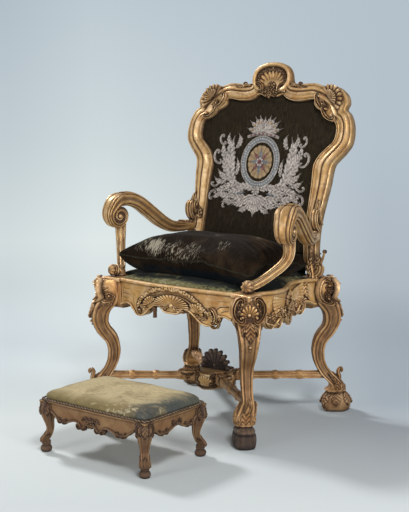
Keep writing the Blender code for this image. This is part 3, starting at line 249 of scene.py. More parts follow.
def scroll_path(start, end, first=0.7, last=0.7, belly=0.1, curl=0.34, tall=None, count=34):
    """A scroll that reaches from one place to another: a bowed middle that winds up at both ends, to the left
    where positive. It is as tall over that line as its turns make it, or near to what tall asks."""
    halves = []
    for turns, back in ((first, True), (last, False)):
        bow = 2 * np.pi * abs(belly)
        turn = np.linspace(0, bow + 2 * np.pi * abs(turns), count)
        over = np.maximum(turn - bow, 0)
        size = (1 - (1 - curl) * ease(over / 1.1)) * np.exp(-0.2 * over)
        way = np.exp(1j * math.copysign(1, turns) * turn)
        way = -np.conj(way) if back else way
        steps = (way[1:] * size[1:] + way[:-1] * size[:-1]) / 2 * np.diff(turn)
        halves.append(np.concatenate([[0], np.cumsum(steps)]))
    path = np.concatenate([halves[0][:0:-1], halves[1]])
    along, rise = path.real, path.imag
    low, width = along.min(), np.ptp(along)
    chord = complex(*end) - complex(*start)
    if tall is not None:
        rise = rise * np.clip(tall * width / abs(chord) / np.ptp(rise), 0.5, 1.6)
    path = complex(*start) + (along - low + 1j * (rise - (rise[0] + rise[-1]) / 2)) * chord / width
    return np.stack([path.real, path.imag], axis=1)


# Relief of a carved band: s runs along it from 0 to 1 and c across it from -1 to 1

def dome(s, c):
    return np.sqrt(np.maximum(1 - c * c, 0)) + 0 * s


def ridge(s, c):
    return (1 - np.abs(c)) ** 0.9 * (0.55 + 0.45 * (1 - np.abs(c))) + 0 * s


def gutter(s, c):
    """Two raised lips with a hollow between them."""
    return (1 - c**8) * (1 - 0.72 * np.exp(-((c / 0.5) ** 2))) + 0 * s


def reeded(s, c):
    return dome(s, c) * (0.72 + 0.28 * np.cos(3 * np.pi * c))


def twisted(twists):
    return lambda s, c: dome(s, c) * (0.68 + 0.32 * np.cos(2 * np.pi * (twists * s + 0.55 * c)))


def leafed(lobes):
    """Slanting lobes to both sides of a sunk vein."""
    def relief(s, c):
        lobe = 0.66 + 0.34 * np.cos(2 * np.pi * (lobes * s - 0.8 * np.abs(c)))
        return (1 - c**4) ** 0.6 * lobe * (1 - 0.35 * np.exp(-((c / 0.13) ** 2)))
    return relief


def lobed(lobes, depth=0.35):
    """How far the edge of a leaf reaches: its lobes, with cuts between them."""
    def reach(s, c):
        return 1 - depth * (1 - np.abs(np.sin(np.pi * (lobes * s + 0.1)))) * np.abs(c) ** 0.5
    return reach


def leaf_width(count, width):
    s = np.linspace(0, 1, count)
    swell = 0.35 + 0.65 * np.sin(np.pi * np.minimum(s * 1.15, 1) ** 0.75) ** 0.8
    return width * swell * (1 - 0.88 * ease((s - 0.55) / 0.45))


def taper(count, width):
    return width * (0.4 + 0.6 * np.sin(np.pi * np.linspace(0, 1, count)) ** 0.55)


def blend(pair, share):
    return pair[0] + (pair[1] - pair[0]) * share


class Carving:
    """Closed bodies of one piece, with a tone at each point from 0 in a hollow to 1 on a crest, from which the
    materials paint shade in hollows and highlight on crests.
    What it draws on a surface is given in millimetres."""

    def __init__(self):
        self.points, self.tones, self.faces = [], [], []
        self.count = 0

    def add(self, points, faces, tones):
        points = points.reshape(-1, 3)
        self.points.append(points)
        self.tones.append(np.broadcast_to(tones, len(points)).astype(float))
        self.faces.append(np.asarray(faces) + self.count)
        self.count += len(points)

    def loft(self, rings, tones=1.0, looped=False):
        """A body through rings of as many points each, closed at its ends or on itself."""
        rings, tones = np.asarray(rings), np.asarray(tones, float)
        stations, around = rings.shape[:2]
        tones = np.broadcast_to(tones[:, None] if tones.ndim == 1 else tones, (stations, around))
        index = np.arange(stations * around).reshape(stations, around)
        low = index if looped else index[:-1]
        high = np.roll(index, -1, axis=0) if looped else index[1:]
        quads = np.stack([low, np.roll(low, -1, 1), np.roll(high, -1, 1), high], axis=-1).reshape(-1, 4)
        if looped:
            self.add(rings, quads, tones.ravel())
            return
        fans = []
        for ring, middle, order in ((index[0], index.size, 1), (index[-1], index.size + 1, -1)):
            pair = np.stack([np.roll(ring, -1), ring], axis=-1)[:, ::order]
            fans.append(np.column_stack([pair, np.full((around, 2), middle)]))
        points = np.concatenate([rings.reshape(-1, 3), [rings[0].mean(0), rings[-1].mean(0)]])
        tone = np.concatenate([tones.ravel(), [tones[0].mean(), tones[-1].mean()]])
        self.add(points, np.concatenate([quads, *fans]), tone)

    def lay(self, place, u, v, h, foot, tone, low, looped=False):
        """A relief on a surface, whose foot is sunk into it along both edges."""
        u, v = (np.concatenate([item, item[:, [-1, 0]]], axis=1) for item in (u, v))
        h = np.concatenate([h, np.broadcast_to(foot, (len(u), 2))], axis=1)
        tone = np.concatenate([tone, np.full((len(u), 2), low)], axis=1)
        self.loft(place(u / 1000, v / 1000, h / 1000), tone, looped)

    def ribbon(self, place, path, width, height, relief=dome, across=9, base=0.0, sink=4.0, lobes=None, slant=0.0,
               tones=(0.1, 1.0)):
        """A carved band along a path on a surface, sunk a little way into it."""
        path = np.asarray(path, float)
        count = len(path)
        s = np.linspace(0, 1, count)[:, None]
        c = np.linspace(-1, 1, across)[None, :]
        half, tall, level = (np.broadcast_to(np.asarray(item, float), count)[:, None]
                             for item in (np.asarray(width) / 2, height, base))
        way = unit(np.gradient(path, axis=0))
        aside = np.stack([-way[:, 1], way[:, 0]], axis=1)
        reach = half * c * (lobes(s, c) if lobes else 1)
        flat = path[:, None] + aside[:, None] * reach[..., None]
        flat = flat + way[:, None] * (slant * np.abs(c) * half)[..., None]
        share = relief(s, c)
        tone = blend(tones, np.clip(share, 0, 1))
        self.lay(place, flat[..., 0], flat[..., 1], level + tall * share, level - sink, tone, tones[0])

    def bead(self, place, centre, radius, height, base=0.0, sink=4.0, sides=12, tones=(0.3, 1.0)):
        swing = np.array([[-0.01], [0.35], [0.75], [1.15], [1.5]])
        turn = turns(sides)
        size = radius * np.maximum(np.cos(np.maximum(swing, 0)), 0.08)
        lift = base + np.where(swing > 0, height * np.sin(swing), -sink)
        rings = place((centre[0] + size * np.cos(turn)) / 1000, (centre[1] + size * np.sin(turn)) / 1000, lift / 1000)
        self.loft(rings, blend(tones, np.maximum(np.sin(swing), 0)))

    def fan(self, place, centre, radius, ribs, spread, turn, height, dish, base=0.0, stretch=1.0, scallop=0.12,
            tones=(0.1, 1.0), per_rib=8, rows=9):
        """A ribbed shell: it opens by spread degrees to each side of the way that turn gives."""
        whole = spread >= 180
        count = ribs * per_rib + (0 if whole else 1)
        along = np.arange(count) / (ribs * per_rib)
        lean = np.radians(spread) * (2 * along - 1)[:, None]
        wave = np.abs(np.sin(np.pi * ribs * along))[:, None]
        share = np.linspace(0.12, 1, rows)[None, :]
        rim = radius * (1 - scallop + scallop * wave**0.6)
        long, wide = rim * share * np.cos(lean), rim * share * np.sin(lean) * stretch
        cosine, sine = math.cos(math.radians(turn)), math.sin(math.radians(turn))
        u, v = centre[0] + long * cosine - wide * sine, centre[1] + long * sine + wide * cosine
        lift = height * (dish + (1 - dish) * share**1.6) * (0.55 + 0.45 * wave**0.8 * np.minimum(share * 1.6, 1))
        lift = lift * (1 - 0.25 * ease((share - 0.86) / 0.14))
        tone = blend(tones, (0.25 + 0.75 * wave) * (0.55 + 0.45 * share))
        self.lay(place, u, v, base + lift, base - 4.0, tone, tones[0], whole)

    def rosette(self, place, centre, radius, petals, height, dish, base=0.0, scallop=0.25, rows=5, **options):
        self.fan(place, centre, radius, petals, 180, 90, height, dish, base, scallop=scallop, rows=rows, **options)

    def scroll(self, place, ends, width, height, first=0.6, last=None, belly=0.1, tall=None, base=0.0,
               tones=(0.1, 1.0)):
        """A scroll from one place to another, whose two eyes end in beads."""
        path = scroll_path(ends[:2], ends[2:], first, first if last is None else last, belly, tall=tall)
        self.ribbon(place, path, taper(len(path), width), height, gutter, 9, base, tones=tones)
        for eye in (path[0], path[-1]):
            self.bead(place, eye, width * 0.42, height * 1.15, base, sides=10, tones=tones)

    def sweep(self, path, wide, tall, up, tones, sides, flutes, depth):
        """A body drawn along a path in space, with as many grooves along it as flutes says."""
        way = unit(np.gradient(path, axis=0))
        aside = unit(np.cross(np.broadcast_to(np.asarray(up, float), path.shape), way))
        over = np.cross(way, aside)
        angle = turns(sides, 0.5)
        wave = np.cos(flutes * angle)
        wide, tall = wide[:, None] + depth * wave, tall[:, None] + depth * wave
        rings = path[:, None] + aside[:, None] * (wide * np.cos(angle))[..., None]
        rings = rings + over[:, None] * (tall * np.sin(angle))[..., None]
        self.loft(rings, blend(tones, 0.5 + 0.5 * wave)[None, :])

    def leaves(self, place, height, lobes, *rows, base=0.0, lift=0.0, tones=(0.1, 1.0), count=40):
        """Lobed leaves whose tips lift off the surface. A row gives the path of one leaf and then its width."""
        s = np.linspace(0, 1, count)
        level = base + lift * ease((s - 0.4) / 0.6) - 0.35 * lift * ease((s - 0.85) / 0.15)
        for *points, width in rows:
            self.ribbon(place, drawn(points, count), leaf_width(count, width), height, leafed(lobes), 11, level,
                        4.0, lobed(lobes), 0.35, tones)

    def rocaille(self, place, points, size, count, height, base=0.0, flip=1, tones=(0.0, 0.55)):
        """A row of small ribbed shells along a path, opening away from it."""
        path = drawn(points, count + 1, 80)
        way = unit(np.gradient(path, axis=0))
        for index in range(count + 1):
            turn = math.degrees(math.atan2(way[index, 1], way[index, 0])) + 90 * flip + 14 * math.sin(1.9 * index)
            grow = (0.75 + 0.25 * math.sin(math.pi * index / count)) * (1 + 0.12 * math.sin(2.7 * index))
            self.fan(place, path[index], size * grow, 3, 75, turn, height, 0.45, base, scallop=0.22, tones=tones,
                     per_rib=5, rows=5)

    def lines(self, place, tone, width, height, gap, *rows):
        """Thin raised lines, each with a sunk one under it."""
        for points in rows:
            path = drawn(points, 30, 40)
            self.ribbon(place, path, width, height, dome, 5, -2.0, tones=(tone, 1))
            self.ribbon(place, path - [0, gap], gap, 0.6, dome, 5, -2.4, tones=(0, 0.1))

    def finish(self, name, origin, angle=50):
        """The object of the piece, with its place in its mesh."""
        mesh = bpy.data.meshes.new(name)
        points = np.concatenate(self.points) + origin
        faces = [row[:3] if row[2] == row[3] else row for row in np.concatenate(self.faces).tolist()]
        mesh.from_pydata(points.tolist(), [], faces)
        bm = bmesh.new()
        bm.from_mesh(mesh)
        bmesh.ops.recalc_face_normals(bm, faces=bm.faces)
        bm.to_mesh(mesh)
        bm.free()
        set_tone(mesh, np.concatenate(self.tones))
        mesh.shade_smooth()
        mesh.set_sharp_from_angle(angle=math.radians(angle))
        return add_object(name, mesh)


# Objects and meshes

def add_object(name, data):
    item = bpy.data.objects.new(name, data)
    bpy.context.scene.collection.objects.link(item)
    return item


def set_tone(mesh, tones):
    tone = mesh.attributes.new("tone", "FLOAT", "POINT")
    tone.data.foreach_set("value", np.broadcast_to(tones, len(mesh.vertices)).astype(np.float32))


def points_of(mesh):
    points = np.empty(len(mesh.vertices) * 3, np.float32)
    mesh.vertices.foreach_get("co", points)
    return points.reshape(-1, 3)


def move_points(mesh, points):
    mesh.vertices.foreach_set("co", points.astype(np.float32).ravel())


def settle(piece, body, slot, finish, *nodes):
    """Gives a finished piece its material and body, and hides the solids that it stands for. slot is not used."""
    piece.data.materials.clear()
    piece.data.materials.append(finish)
    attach(piece, body)
    if nodes:
        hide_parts(*nodes)
    return piece


def carved(carving, name, finish, *nodes, body="chair", slot="gilded_wood", origin=chair_origin, angle=50):
    """Finishes a carving and settles it."""
    return settle(carving.finish(name, origin, angle), body, slot, get_finish(finish), *nodes)


def merged_copy(node, name):
    """A copy of a solid's mesh with its loose triangles joined."""
    bm = bmesh.new()
    bm.from_mesh(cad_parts[node].data)
    bmesh.ops.remove_doubles(bm, verts=bm.verts, dist=1e-5)
    bmesh.ops.recalc_face_normals(bm, faces=bm.faces)
    mesh = bpy.data.meshes.new(name)
    bm.to_mesh(mesh)
    bm.free()
    for attribute in [item.name for item in mesh.attributes if item.name.startswith("custom")]:
        mesh.attributes.remove(mesh.attributes[attribute])
    return add_object(name, mesh)


def bake(piece):
    """Turns the piece with its modifiers into a plain mesh."""
    bpy.context.view_layer.update()
    graph = bpy.context.evaluated_depsgraph_get()
    mesh = bpy.data.meshes.new_from_object(piece.evaluated_get(graph))
    piece.modifiers.clear()
    piece.data = mesh
    mesh.name = piece.name


def with_modifier(piece, kind, **settings):
    """Puts a modifier on a piece and bakes it."""
    modifier = piece.modifiers.new(kind.lower(), kind)
    for key, value in settings.items():
        setattr(modifier, key, value)
    bake(piece)


def stuff(piece, voxel, pressure, cap, shrink):
    """Remeshes a soft piece and swells it with cloth, then limits how far each point has moved."""
    with_modifier(piece, "REMESH", mode="VOXEL", voxel_size=voxel)
    start = points_of(piece.data)
    cloth = piece.modifiers.new("cloth", "CLOTH")
    for key, value in (
        ("quality", 5), ("mass", 0.3), ("tension_stiffness", 12), ("compression_stiffness", 6),
        ("bending_stiffness", 0.4), ("shrink_min", shrink), ("use_pressure", True),
        ("uniform_pressure_force", pressure),
    ):
        setattr(cloth.settings, key, value)
    cloth.settings.effector_weights.gravity = 0
    cloth.point_cache.frame_start = 1
    cloth.point_cache.frame_end = 20
    for step in range(1, 21):
        bpy.context.scene.frame_set(step)
    bake(piece)
    change = points_of(piece.data) - start
    length = np.linalg.norm(change, axis=1, keepdims=True)
    change *= np.minimum(1, cap / np.maximum(length, 1e-9))
    move_points(piece.data, start + change)
    bpy.context.scene.frame_set(1)
    with_modifier(piece, "SMOOTH", iterations=3)


# Surfaces that the carving lies on. Each takes places along and up it, and how far to stand off it

class Leg:
    """The surface of one cabriole leg."""

    def __init__(self, corner, side, end, height, swing, block, table, toe=0.0):
        self.side, self.end = side, end
        self.corner = np.array([*corner, 0.0])
        self.outward = np.array([side, end, 0.0]) / math.sqrt(2)
        self.across = np.array([-side, end, 0.0]) / math.sqrt(2)
        self.height, self.swing, self.block, self.table, self.toe = height, swing, block, table, toe

    def read(self, height):
        share = np.asarray(height, float) / self.height
        row = through(self.table, share)
        outer, inner = row[..., 0] * self.swing, row[..., 1] * self.swing
        turn = self.toe * ease((0.30 - share) / 0.11)
        return (outer + inner) / 2, (outer - inner) / 2, row[..., 2] * self.block, turn

    def point(self, out, aside, height):
        return span(self.corner, (self.outward, self.across, upward), (out, aside, height))

    def face(self, u, v, h):
        """The outer face: u across it."""
        middle, half_out, half_side, turn = self.read(v)
        share = np.clip(np.abs(u / half_side), 0, 0.98)
        return self.point(middle + half_out * (1 - share**3.23) ** 0.31 + h, u + turn, v)

    def flank(self, sign):
        """One flank: u outwards from its middle line, in a width that stays the same all the way up."""
        def place(u, v, h):
            middle, half_out, half_side, turn = self.read(v)
            share = np.clip(u / (0.36 * self.swing), -0.97, 0.97)
            deep = half_side * (1 - np.abs(share) ** 3.23) ** 0.31
            return self.point(middle + share * half_out, sign * (deep + h) + turn, v)
        return place

    def shield(self, u, v, h):
        """A gently bowed face before the knee, for the cartouche."""
        middle, half_out, _, turn = self.read(v)
        return self.point(middle + half_out - 0.16 * half_out * (u / self.block) ** 2 + h, u + turn, v)

    def body(self, carving, low, high, stations, around, bead, groove, shade=()):
        """The leg itself. shade lists heights with how far round them and how deeply the tone sinks."""
        heights = np.linspace(low, high, stations)[:, None]
        middle, half_out, half_side, turn = self.read(heights)
        angle = turns(around, 0.5)[None, :]
        out, aside = soft_square(angle, 0.62)
        off = ridge_distance(angle)
        strength = ease((heights - low) / (0.12 * self.height))
        strength = strength * (1 - ease((heights - 0.86 * self.height) / (0.05 * self.height)))
        rise = (bead * bump(off, 0.02, 0.15) - groove * bump(off, 0.36, 0.15) + 0.4 * bead * bump(off, 0.58, 0.1)
                - 0.6 * groove * bump(off, 0.785, 0.1)) * strength
        tone = 0.85 + 0.15 * bump(off, 0, 0.2) - 0.55 * bump(off, 0.34, 0.12) * strength
        tone = tone - 0.34 * ease((off - 0.2) / 0.2) * strength - 0.2 * bump(off, 0.785, 0.16) * strength
        for place, reach, sunk in shade:
            tone = tone * (1 - sunk * bump(heights, place, reach))
        size = np.sqrt(half_out * half_side)
        rings = self.point(middle + (half_out + rise * half_out / size) * out,
                           (half_side + rise * half_side / size) * aside + turn, heights)
        carving.loft(rings, np.clip(tone, 0, 1))

    def block_on(self, carving, size, bulge, levels):
        """The square block at the top of a leg, bowed out at its corner. Levels give height and inset, in
        millimetres, and tone."""
        corner, side, end = self.corner, self.side, self.end
        inner = corner - np.array([side, end, 0.0]) * size
        path = smooth_path([
            (inner[0], corner[1]), (inner[0] + side * 0.46 * size, corner[1] + end * 0.1 * bulge),
            (corner[0] + side * 0.6 * bulge, corner[1] + end * 0.6 * bulge),
            (corner[0] + side * 0.1 * bulge, inner[1] + end * 0.46 * size), (corner[0], inner[1]),
        ], 25)
        way = unit(np.gradient(path, axis=0))
        way[0], way[-1] = (side, 0), (0, -end)
        normal = np.stack([way[:, 1], -way[:, 0]], axis=1) * (-side * end)
        rings = []
        for height, grow, _ in levels:
            ring = np.vstack([path + normal * grow / 1000, inner[:2]])
            rings.append(np.column_stack([ring, np.full(len(ring), height / 1000)]))
        carving.loft(rings, [level[2] for level in levels])


class Apron:
    """The moulded face of a seat rail with a scalloped lower edge. u is the place along the rail."""

    def __init__(self, axis, sign, reach, line, top, drop, drops, step):
        self.axis, self.sign, self.reach, self.line = axis, sign, reach, line
        self.top, self.drop, self.drops, self.step = top, drop, drops, step

    def __call__(self, u, v, h):
        u, v, h = np.broadcast_arrays(np.asarray(u, float), v, h)
        out = self.sign * (self.line(u) - self.step + h)
        return np.stack([u, out, v] if self.axis == "x" else [out, u, v], axis=-1)

    def bottom(self, u):
        return self.top - self.drop * self.drops(u)

    def body(self, carving, thickness, lip, rabbet, bead, stations, cove=0.003):
        u = np.linspace(*self.reach, stations)
        bottom, top, step = self.bottom(u), self.top, self.step
        head, back = top - 1.45 * bead, step - thickness
        rows = [(step * 0.2, top, 0.8), (step * 0.9, top - 0.15 * bead, 0.95), (step * 1.05, top - 0.5 * bead, 1),
                (step * 0.8, top - 0.85 * bead, 0.7), (0, top - 1.1 * bead, 0.25), (0, head, 0.55)]
        for share in (0.15, 0.35, 0.55, 0.75, 0.92):
            rows.append((-cove * math.sin(math.pi * share), head + (bottom - head) * share, 0.8))
        rows += [(0, bottom + 0.001, 0.6), (-0.2 * thickness, bottom - 0.0005, 0.5), (back, bottom, 0.3),
                 (back, top - rabbet, 0.3), (step - lip, top - rabbet, 0.3), (step - lip, top, 0.6)]
        rings = np.stack([self(u, v, h) for h, v, _ in rows], axis=1)
        carving.loft(rings, np.array([[row[2] for row in rows]]))

    def edge(self, carving, width, height, inset, count, tones=(0.25, 1.0)):
        """The raised rim that follows the scallops."""
        u = np.linspace(self.reach[0] + 0.001, self.reach[1] - 0.001, count * 2)
        path = even(np.stack([u * 1000, self.bottom(u) * 1000 + inset], axis=1), count)
        carving.ribbon(self, path, width, height, dome, 7, tones=tones)

    def cord(self, carving, count, twists):
        """The twisted cord under the top edge."""
        ends = [(1000 * self.reach[0] + 1, 515), (1000 * self.reach[1] - 1, 515)]
        carving.ribbon(self, even(ends, count), 6.2, 2.2, twisted(twists), 7, 4, tones=(0.3, 1))


def ridge_distance(angle):
    """How far round a square bar an angle lies from the nearest of its corners."""
    return np.pi / 4 - np.abs((angle + np.pi / 4) % (np.pi / 2) - np.pi / 4)


def wave_line(u):
    along = (u + seat_reach[-1]) / (seat_reach[-1] + seat_reach[1])
    width = seat_half_width[-1] + (seat_half_width[1] - seat_half_width[-1]) * along
    near, far = side_ends
    return width + side_wave * np.sin(2 * np.pi * (u - near) / (far - near))


side_ends = (-seat_reach[-1] + stump_size + 0.0003, seat_reach[1] - stump_size - 0.0003)
front_end = seat_half_width[-1] - stump_size - 0.0003
back_end = seat_half_width[1] - stump_size - 0.0003


def table_drop(table, low, high, centred):
    def drops(u):
        share = (u - low) / (high - low)
        return through(table, np.abs(2 * share - 1) if centred else share)[..., 0]
    return drops


front_apron = Apron(
    "x", -1, (-front_end, front_end), lambda u: seat_reach[-1] + front_bow * (1 - (u / front_end) ** 2),
    seat_height, rail_drop, table_drop(front_drops, -front_end, front_end, True), 0.005,
)
back_apron = Apron(
    "x", 1, (-back_end, back_end), lambda u: seat_reach[1] + 0 * u,
    seat_height, 0.09, table_drop(back_drops, -back_end, back_end, True), 0.005,
)
side_aprons = {
    side: Apron("y", side, side_ends, wave_line, seat_height, rail_drop,
                table_drop(side_drops, *side_ends, False), 0.005)
    for side in (-1, 1)
}


@surface
def back_plane(u, v, h):
    """The leaning plane of the back: u across, v up, h forward."""
    depth = back_seat_reach + (v - seat_height) * math.tan(recline)
    return u, depth - h * math.cos(recline), v + h * math.sin(recline)


def chair_leg(side, end):
    corner = (side * seat_half_width[end], end * seat_reach[end])
    return Leg(corner, side, end, seat_height, leg_swing, leg_block, leg_table, 0.018 if end < 0 else 0.0)


# Materials

def wire(tree, kind, inputs=(), **settings):
    """Adds a node, links or sets its inputs and returns it."""
    node = tree.nodes.new(kind)
    for key, value in settings.items():
        setattr(node, key, value)
    for key, value in dict(inputs).items():
        if isinstance(value, bpy.types.NodeSocket):
            tree.links.new(value, node.inputs[key])
        else:
            node.inputs[key].default_value = value
    return node


def mix_colour(tree, share, first, second, blend="MIX"):
    node = tree.nodes.new("ShaderNodeMix")
    node.data_type = "RGBA"
    node.blend_type = blend
    for key, value in ((0, share), (6, first), (7, second)):
        if isinstance(value, bpy.types.NodeSocket):
            tree.links.new(value, node.inputs[key])
        else:
            node.inputs[key].default_value = value if key == 0 or len(value) == 4 else (*value, 1)
    return node.outputs[2]


def maths(tree, operation, first, second=0.0, third=0.0, clamp=False):
    node = wire(tree, "ShaderNodeMath", {0: first, 1: second, 2: third}, operation=operation, use_clamp=clamp)
    return node.outputs[0]


def stretch_range(tree, value, low, high, new_low=0.0, new_high=1.0):
    node = wire(tree, "ShaderNodeMapRange", {0: value, 1: low, 2: high, 3: new_low, 4: new_high},
                interpolation_type="SMOOTHSTEP")
    return node.outputs[0]


def stretch_line(tree, value, low, high):
    return wire(tree, "ShaderNodeMapRange", {0: value, 1: low, 2: high}).outputs[0]


def to_linear(level):
    level = level / 255
    return level / 12.92 if level <= 0.04045 else ((level + 0.055) / 1.055) ** 2.4


def ramp(tree, value, stops):
    node = wire(tree, "ShaderNodeValToRGB", {0: value})
    elements = node.color_ramp.elements
    while len(elements) < len(stops):
        elements.new(0.5)
    for element, (place, colour) in zip(elements, stops):
        element.position = place
        element.color = (*colour, 1)
    return node.outputs[0]


def noise(tree, vector, scale, detail=4.0, rough=0.55, warp=0.0):
    return wire(tree, "ShaderNodeTexNoise", {"Vector": vector, "Scale": scale, "Detail": detail,
                                              "Roughness": rough, "Distortion": warp}).outputs[0]


def stretched(tree, vector, scale):
    return wire(tree, "ShaderNodeMapping", {"Vector": vector, "Scale": scale}).outputs[0]


def new_material(name, roughness=0.5, metallic=0.0, **sockets):
    material = bpy.data.materials.new(name)
    material.use_nodes = True
    tree = material.node_tree
    shader = tree.nodes["Principled BSDF"]
    shader.inputs["Roughness"].default_value = roughness
    shader.inputs["Metallic"].default_value = metallic
    for key, value in sockets.items():
        shader.inputs[key.replace("_", " ")].default_value = value
    place = tree.nodes.new("ShaderNodeTexCoord").outputs["Object"]
    return material, tree, shader, place


def set_bump(tree, shader, height, strength, distance):
    node = wire(tree, "ShaderNodeBump", {"Height": height, "Strength": strength, "Distance": distance})
    tree.links.new(node.outputs[0], shader.inputs["Normal"])


def shade_and_age_group():
    """Masks on carved work, each from 0 to 1: painted shade in the hollows, a painted highlight on sharp edges and
    mottling of age; and a height for bump.
    """
    name = "aged_carving"
    if name in bpy.data.node_groups:
        return bpy.data.node_groups[name]
    tree = bpy.data.node_groups.new(name, "ShaderNodeTree")
    face = tree.interface
    face.new_socket("Place", in_out="INPUT", socket_type="NodeSocketVector")
    face.new_socket("Tone", in_out="INPUT", socket_type="NodeSocketFloat")
    for word in ("Hollow", "Rubbed", "Mottled", "Height"):
        face.new_socket(word, in_out="OUTPUT", socket_type="NodeSocketFloat")
    given = tree.nodes.new("NodeGroupInput")
    made = tree.nodes.new("NodeGroupOutput")
    place, tone = given.outputs["Place"], given.outputs["Tone"]
    # Ambient occlusion and a low tone give the painted shade in the hollows, made patchy by noise
    shade = wire(tree, "ShaderNodeAmbientOcclusion", {"Distance": 0.018}, samples=6).outputs["AO"]
    shade_and_highlight_noise = noise(tree, place, 38, 5, 0.6)
    lit = maths(tree, "MULTIPLY", stretch_range(tree, shade, 0.25, 0.95), maths(tree, "POWER", tone, 0.8))
    lit = maths(tree, "ADD", lit, maths(tree, "MULTIPLY", maths(tree, "SUBTRACT", shade_and_highlight_noise, 0.5), 0.35), clamp=True)
    hollow = maths(tree, "SUBTRACT", 1.0, stretch_range(tree, lit, 0.10, 0.82), clamp=True)
    # Sharp edges, by their pointiness, get a painted highlight
    edge = tree.nodes.new("ShaderNodeNewGeometry").outputs["Pointiness"]
    edge_highlight = maths(tree, "MULTIPLY", stretch_range(tree, edge, 0.51, 0.60), stretch_range(tree, shade_and_highlight_noise, 0.35, 0.6))
    mottled = stretch_range(tree, noise(tree, place, 16, 6, 0.65, 0.4), 0.40, 0.68)
    fine = maths(tree, "MULTIPLY", noise(tree, place, 420, 2), 0.35)
    height = maths(tree, "ADD", noise(tree, place, 120, 4, 0.6), fine)
    for word, value in (("Hollow", hollow), ("Rubbed", edge_highlight), ("Mottled", mottled), ("Height", height)):
        tree.links.new(value, made.inputs[word])
    return tree


def gilding(name, light, middle, dark, roughness=0.36, metallic=0.5, wear=0.55, upper=None):
    """Old gilding: pale on crests and sharp edges as a painted highlight, brown in hollows as painted shade, with
    lighter patches, and red-brown ground where it is worn.
    """
    material, tree, shader, place = new_material(name, roughness, metallic)
    tone = wire(tree, "ShaderNodeAttribute", {}, attribute_name="tone").outputs["Fac"]
    group = wire(tree, "ShaderNodeGroup", {}, node_tree=shade_and_age_group())
    tree.links.new(place, group.inputs["Place"])
    tree.links.new(tone, group.inputs["Tone"])
    hollow, edge_highlight = group.outputs["Hollow"], group.outputs["Rubbed"]
    mottled, height = group.outputs["Mottled"], group.outputs["Height"]
    earthy = [item * share for item, share in zip(middle, (0.66, 0.52, 0.42))]
    colour = mix_colour(tree, maths(tree, "MULTIPLY", mottled, 0.8), middle, earthy)
    bright = stretch_range(tree, noise(tree, place, 27, 4, 0.6), 0.44, 0.70)
    colour = mix_colour(tree, maths(tree, "MULTIPLY", bright, 0.45), colour, light)
    # Crests, where the tone is high, get a painted highlight, patchy like the lighter patches
    crest = maths(tree, "ADD", bright, 0.25, clamp=True)
    crest = maths(tree, "MULTIPLY", stretch_range(tree, tone, 0.80, 1.0), crest)
    colour = mix_colour(tree, maths(tree, "MULTIPLY", crest, 0.72), colour, light)
    # Sharp edges get a painted highlight
    colour = mix_colour(tree, maths(tree, "MULTIPLY", edge_highlight, 0.7), colour, light)
    bole = stretch_range(tree, noise(tree, place, 42, 6, 0.72), 0.56, 0.68)
    colour = mix_colour(tree, maths(tree, "MULTIPLY", bole, wear), colour, (0.17, 0.068, 0.035))
    if upper:
        height_now = wire(tree, "ShaderNodeSeparateXYZ", {"Vector": place}).outputs["Z"]
        lifted = mix_colour(tree, 1.0, colour, upper[2], "MULTIPLY")
        colour = mix_colour(tree, stretch_range(tree, height_now, upper[0], upper[1]), colour, lifted)
    # The hollows get painted shade: the dark colour, rougher and less metallic
    colour = mix_colour(tree, hollow, colour, dark)
    tree.links.new(colour, shader.inputs["Base Color"])
    rough = maths(tree, "ADD", maths(tree, "MULTIPLY", hollow, 0.35), maths(tree, "MULTIPLY", mottled, 0.16))
    tree.links.new(maths(tree, "ADD", rough, roughness, clamp=True), shader.inputs["Roughness"])
    metal = maths(tree, "MULTIPLY", maths(tree, "SUBTRACT", 1.0, maths(tree, "MULTIPLY", hollow, 0.8)), metallic)
    tree.links.new(metal, shader.inputs["Metallic"])
    set_bump(tree, shader, height, 0.45, 0.0014)
    return material


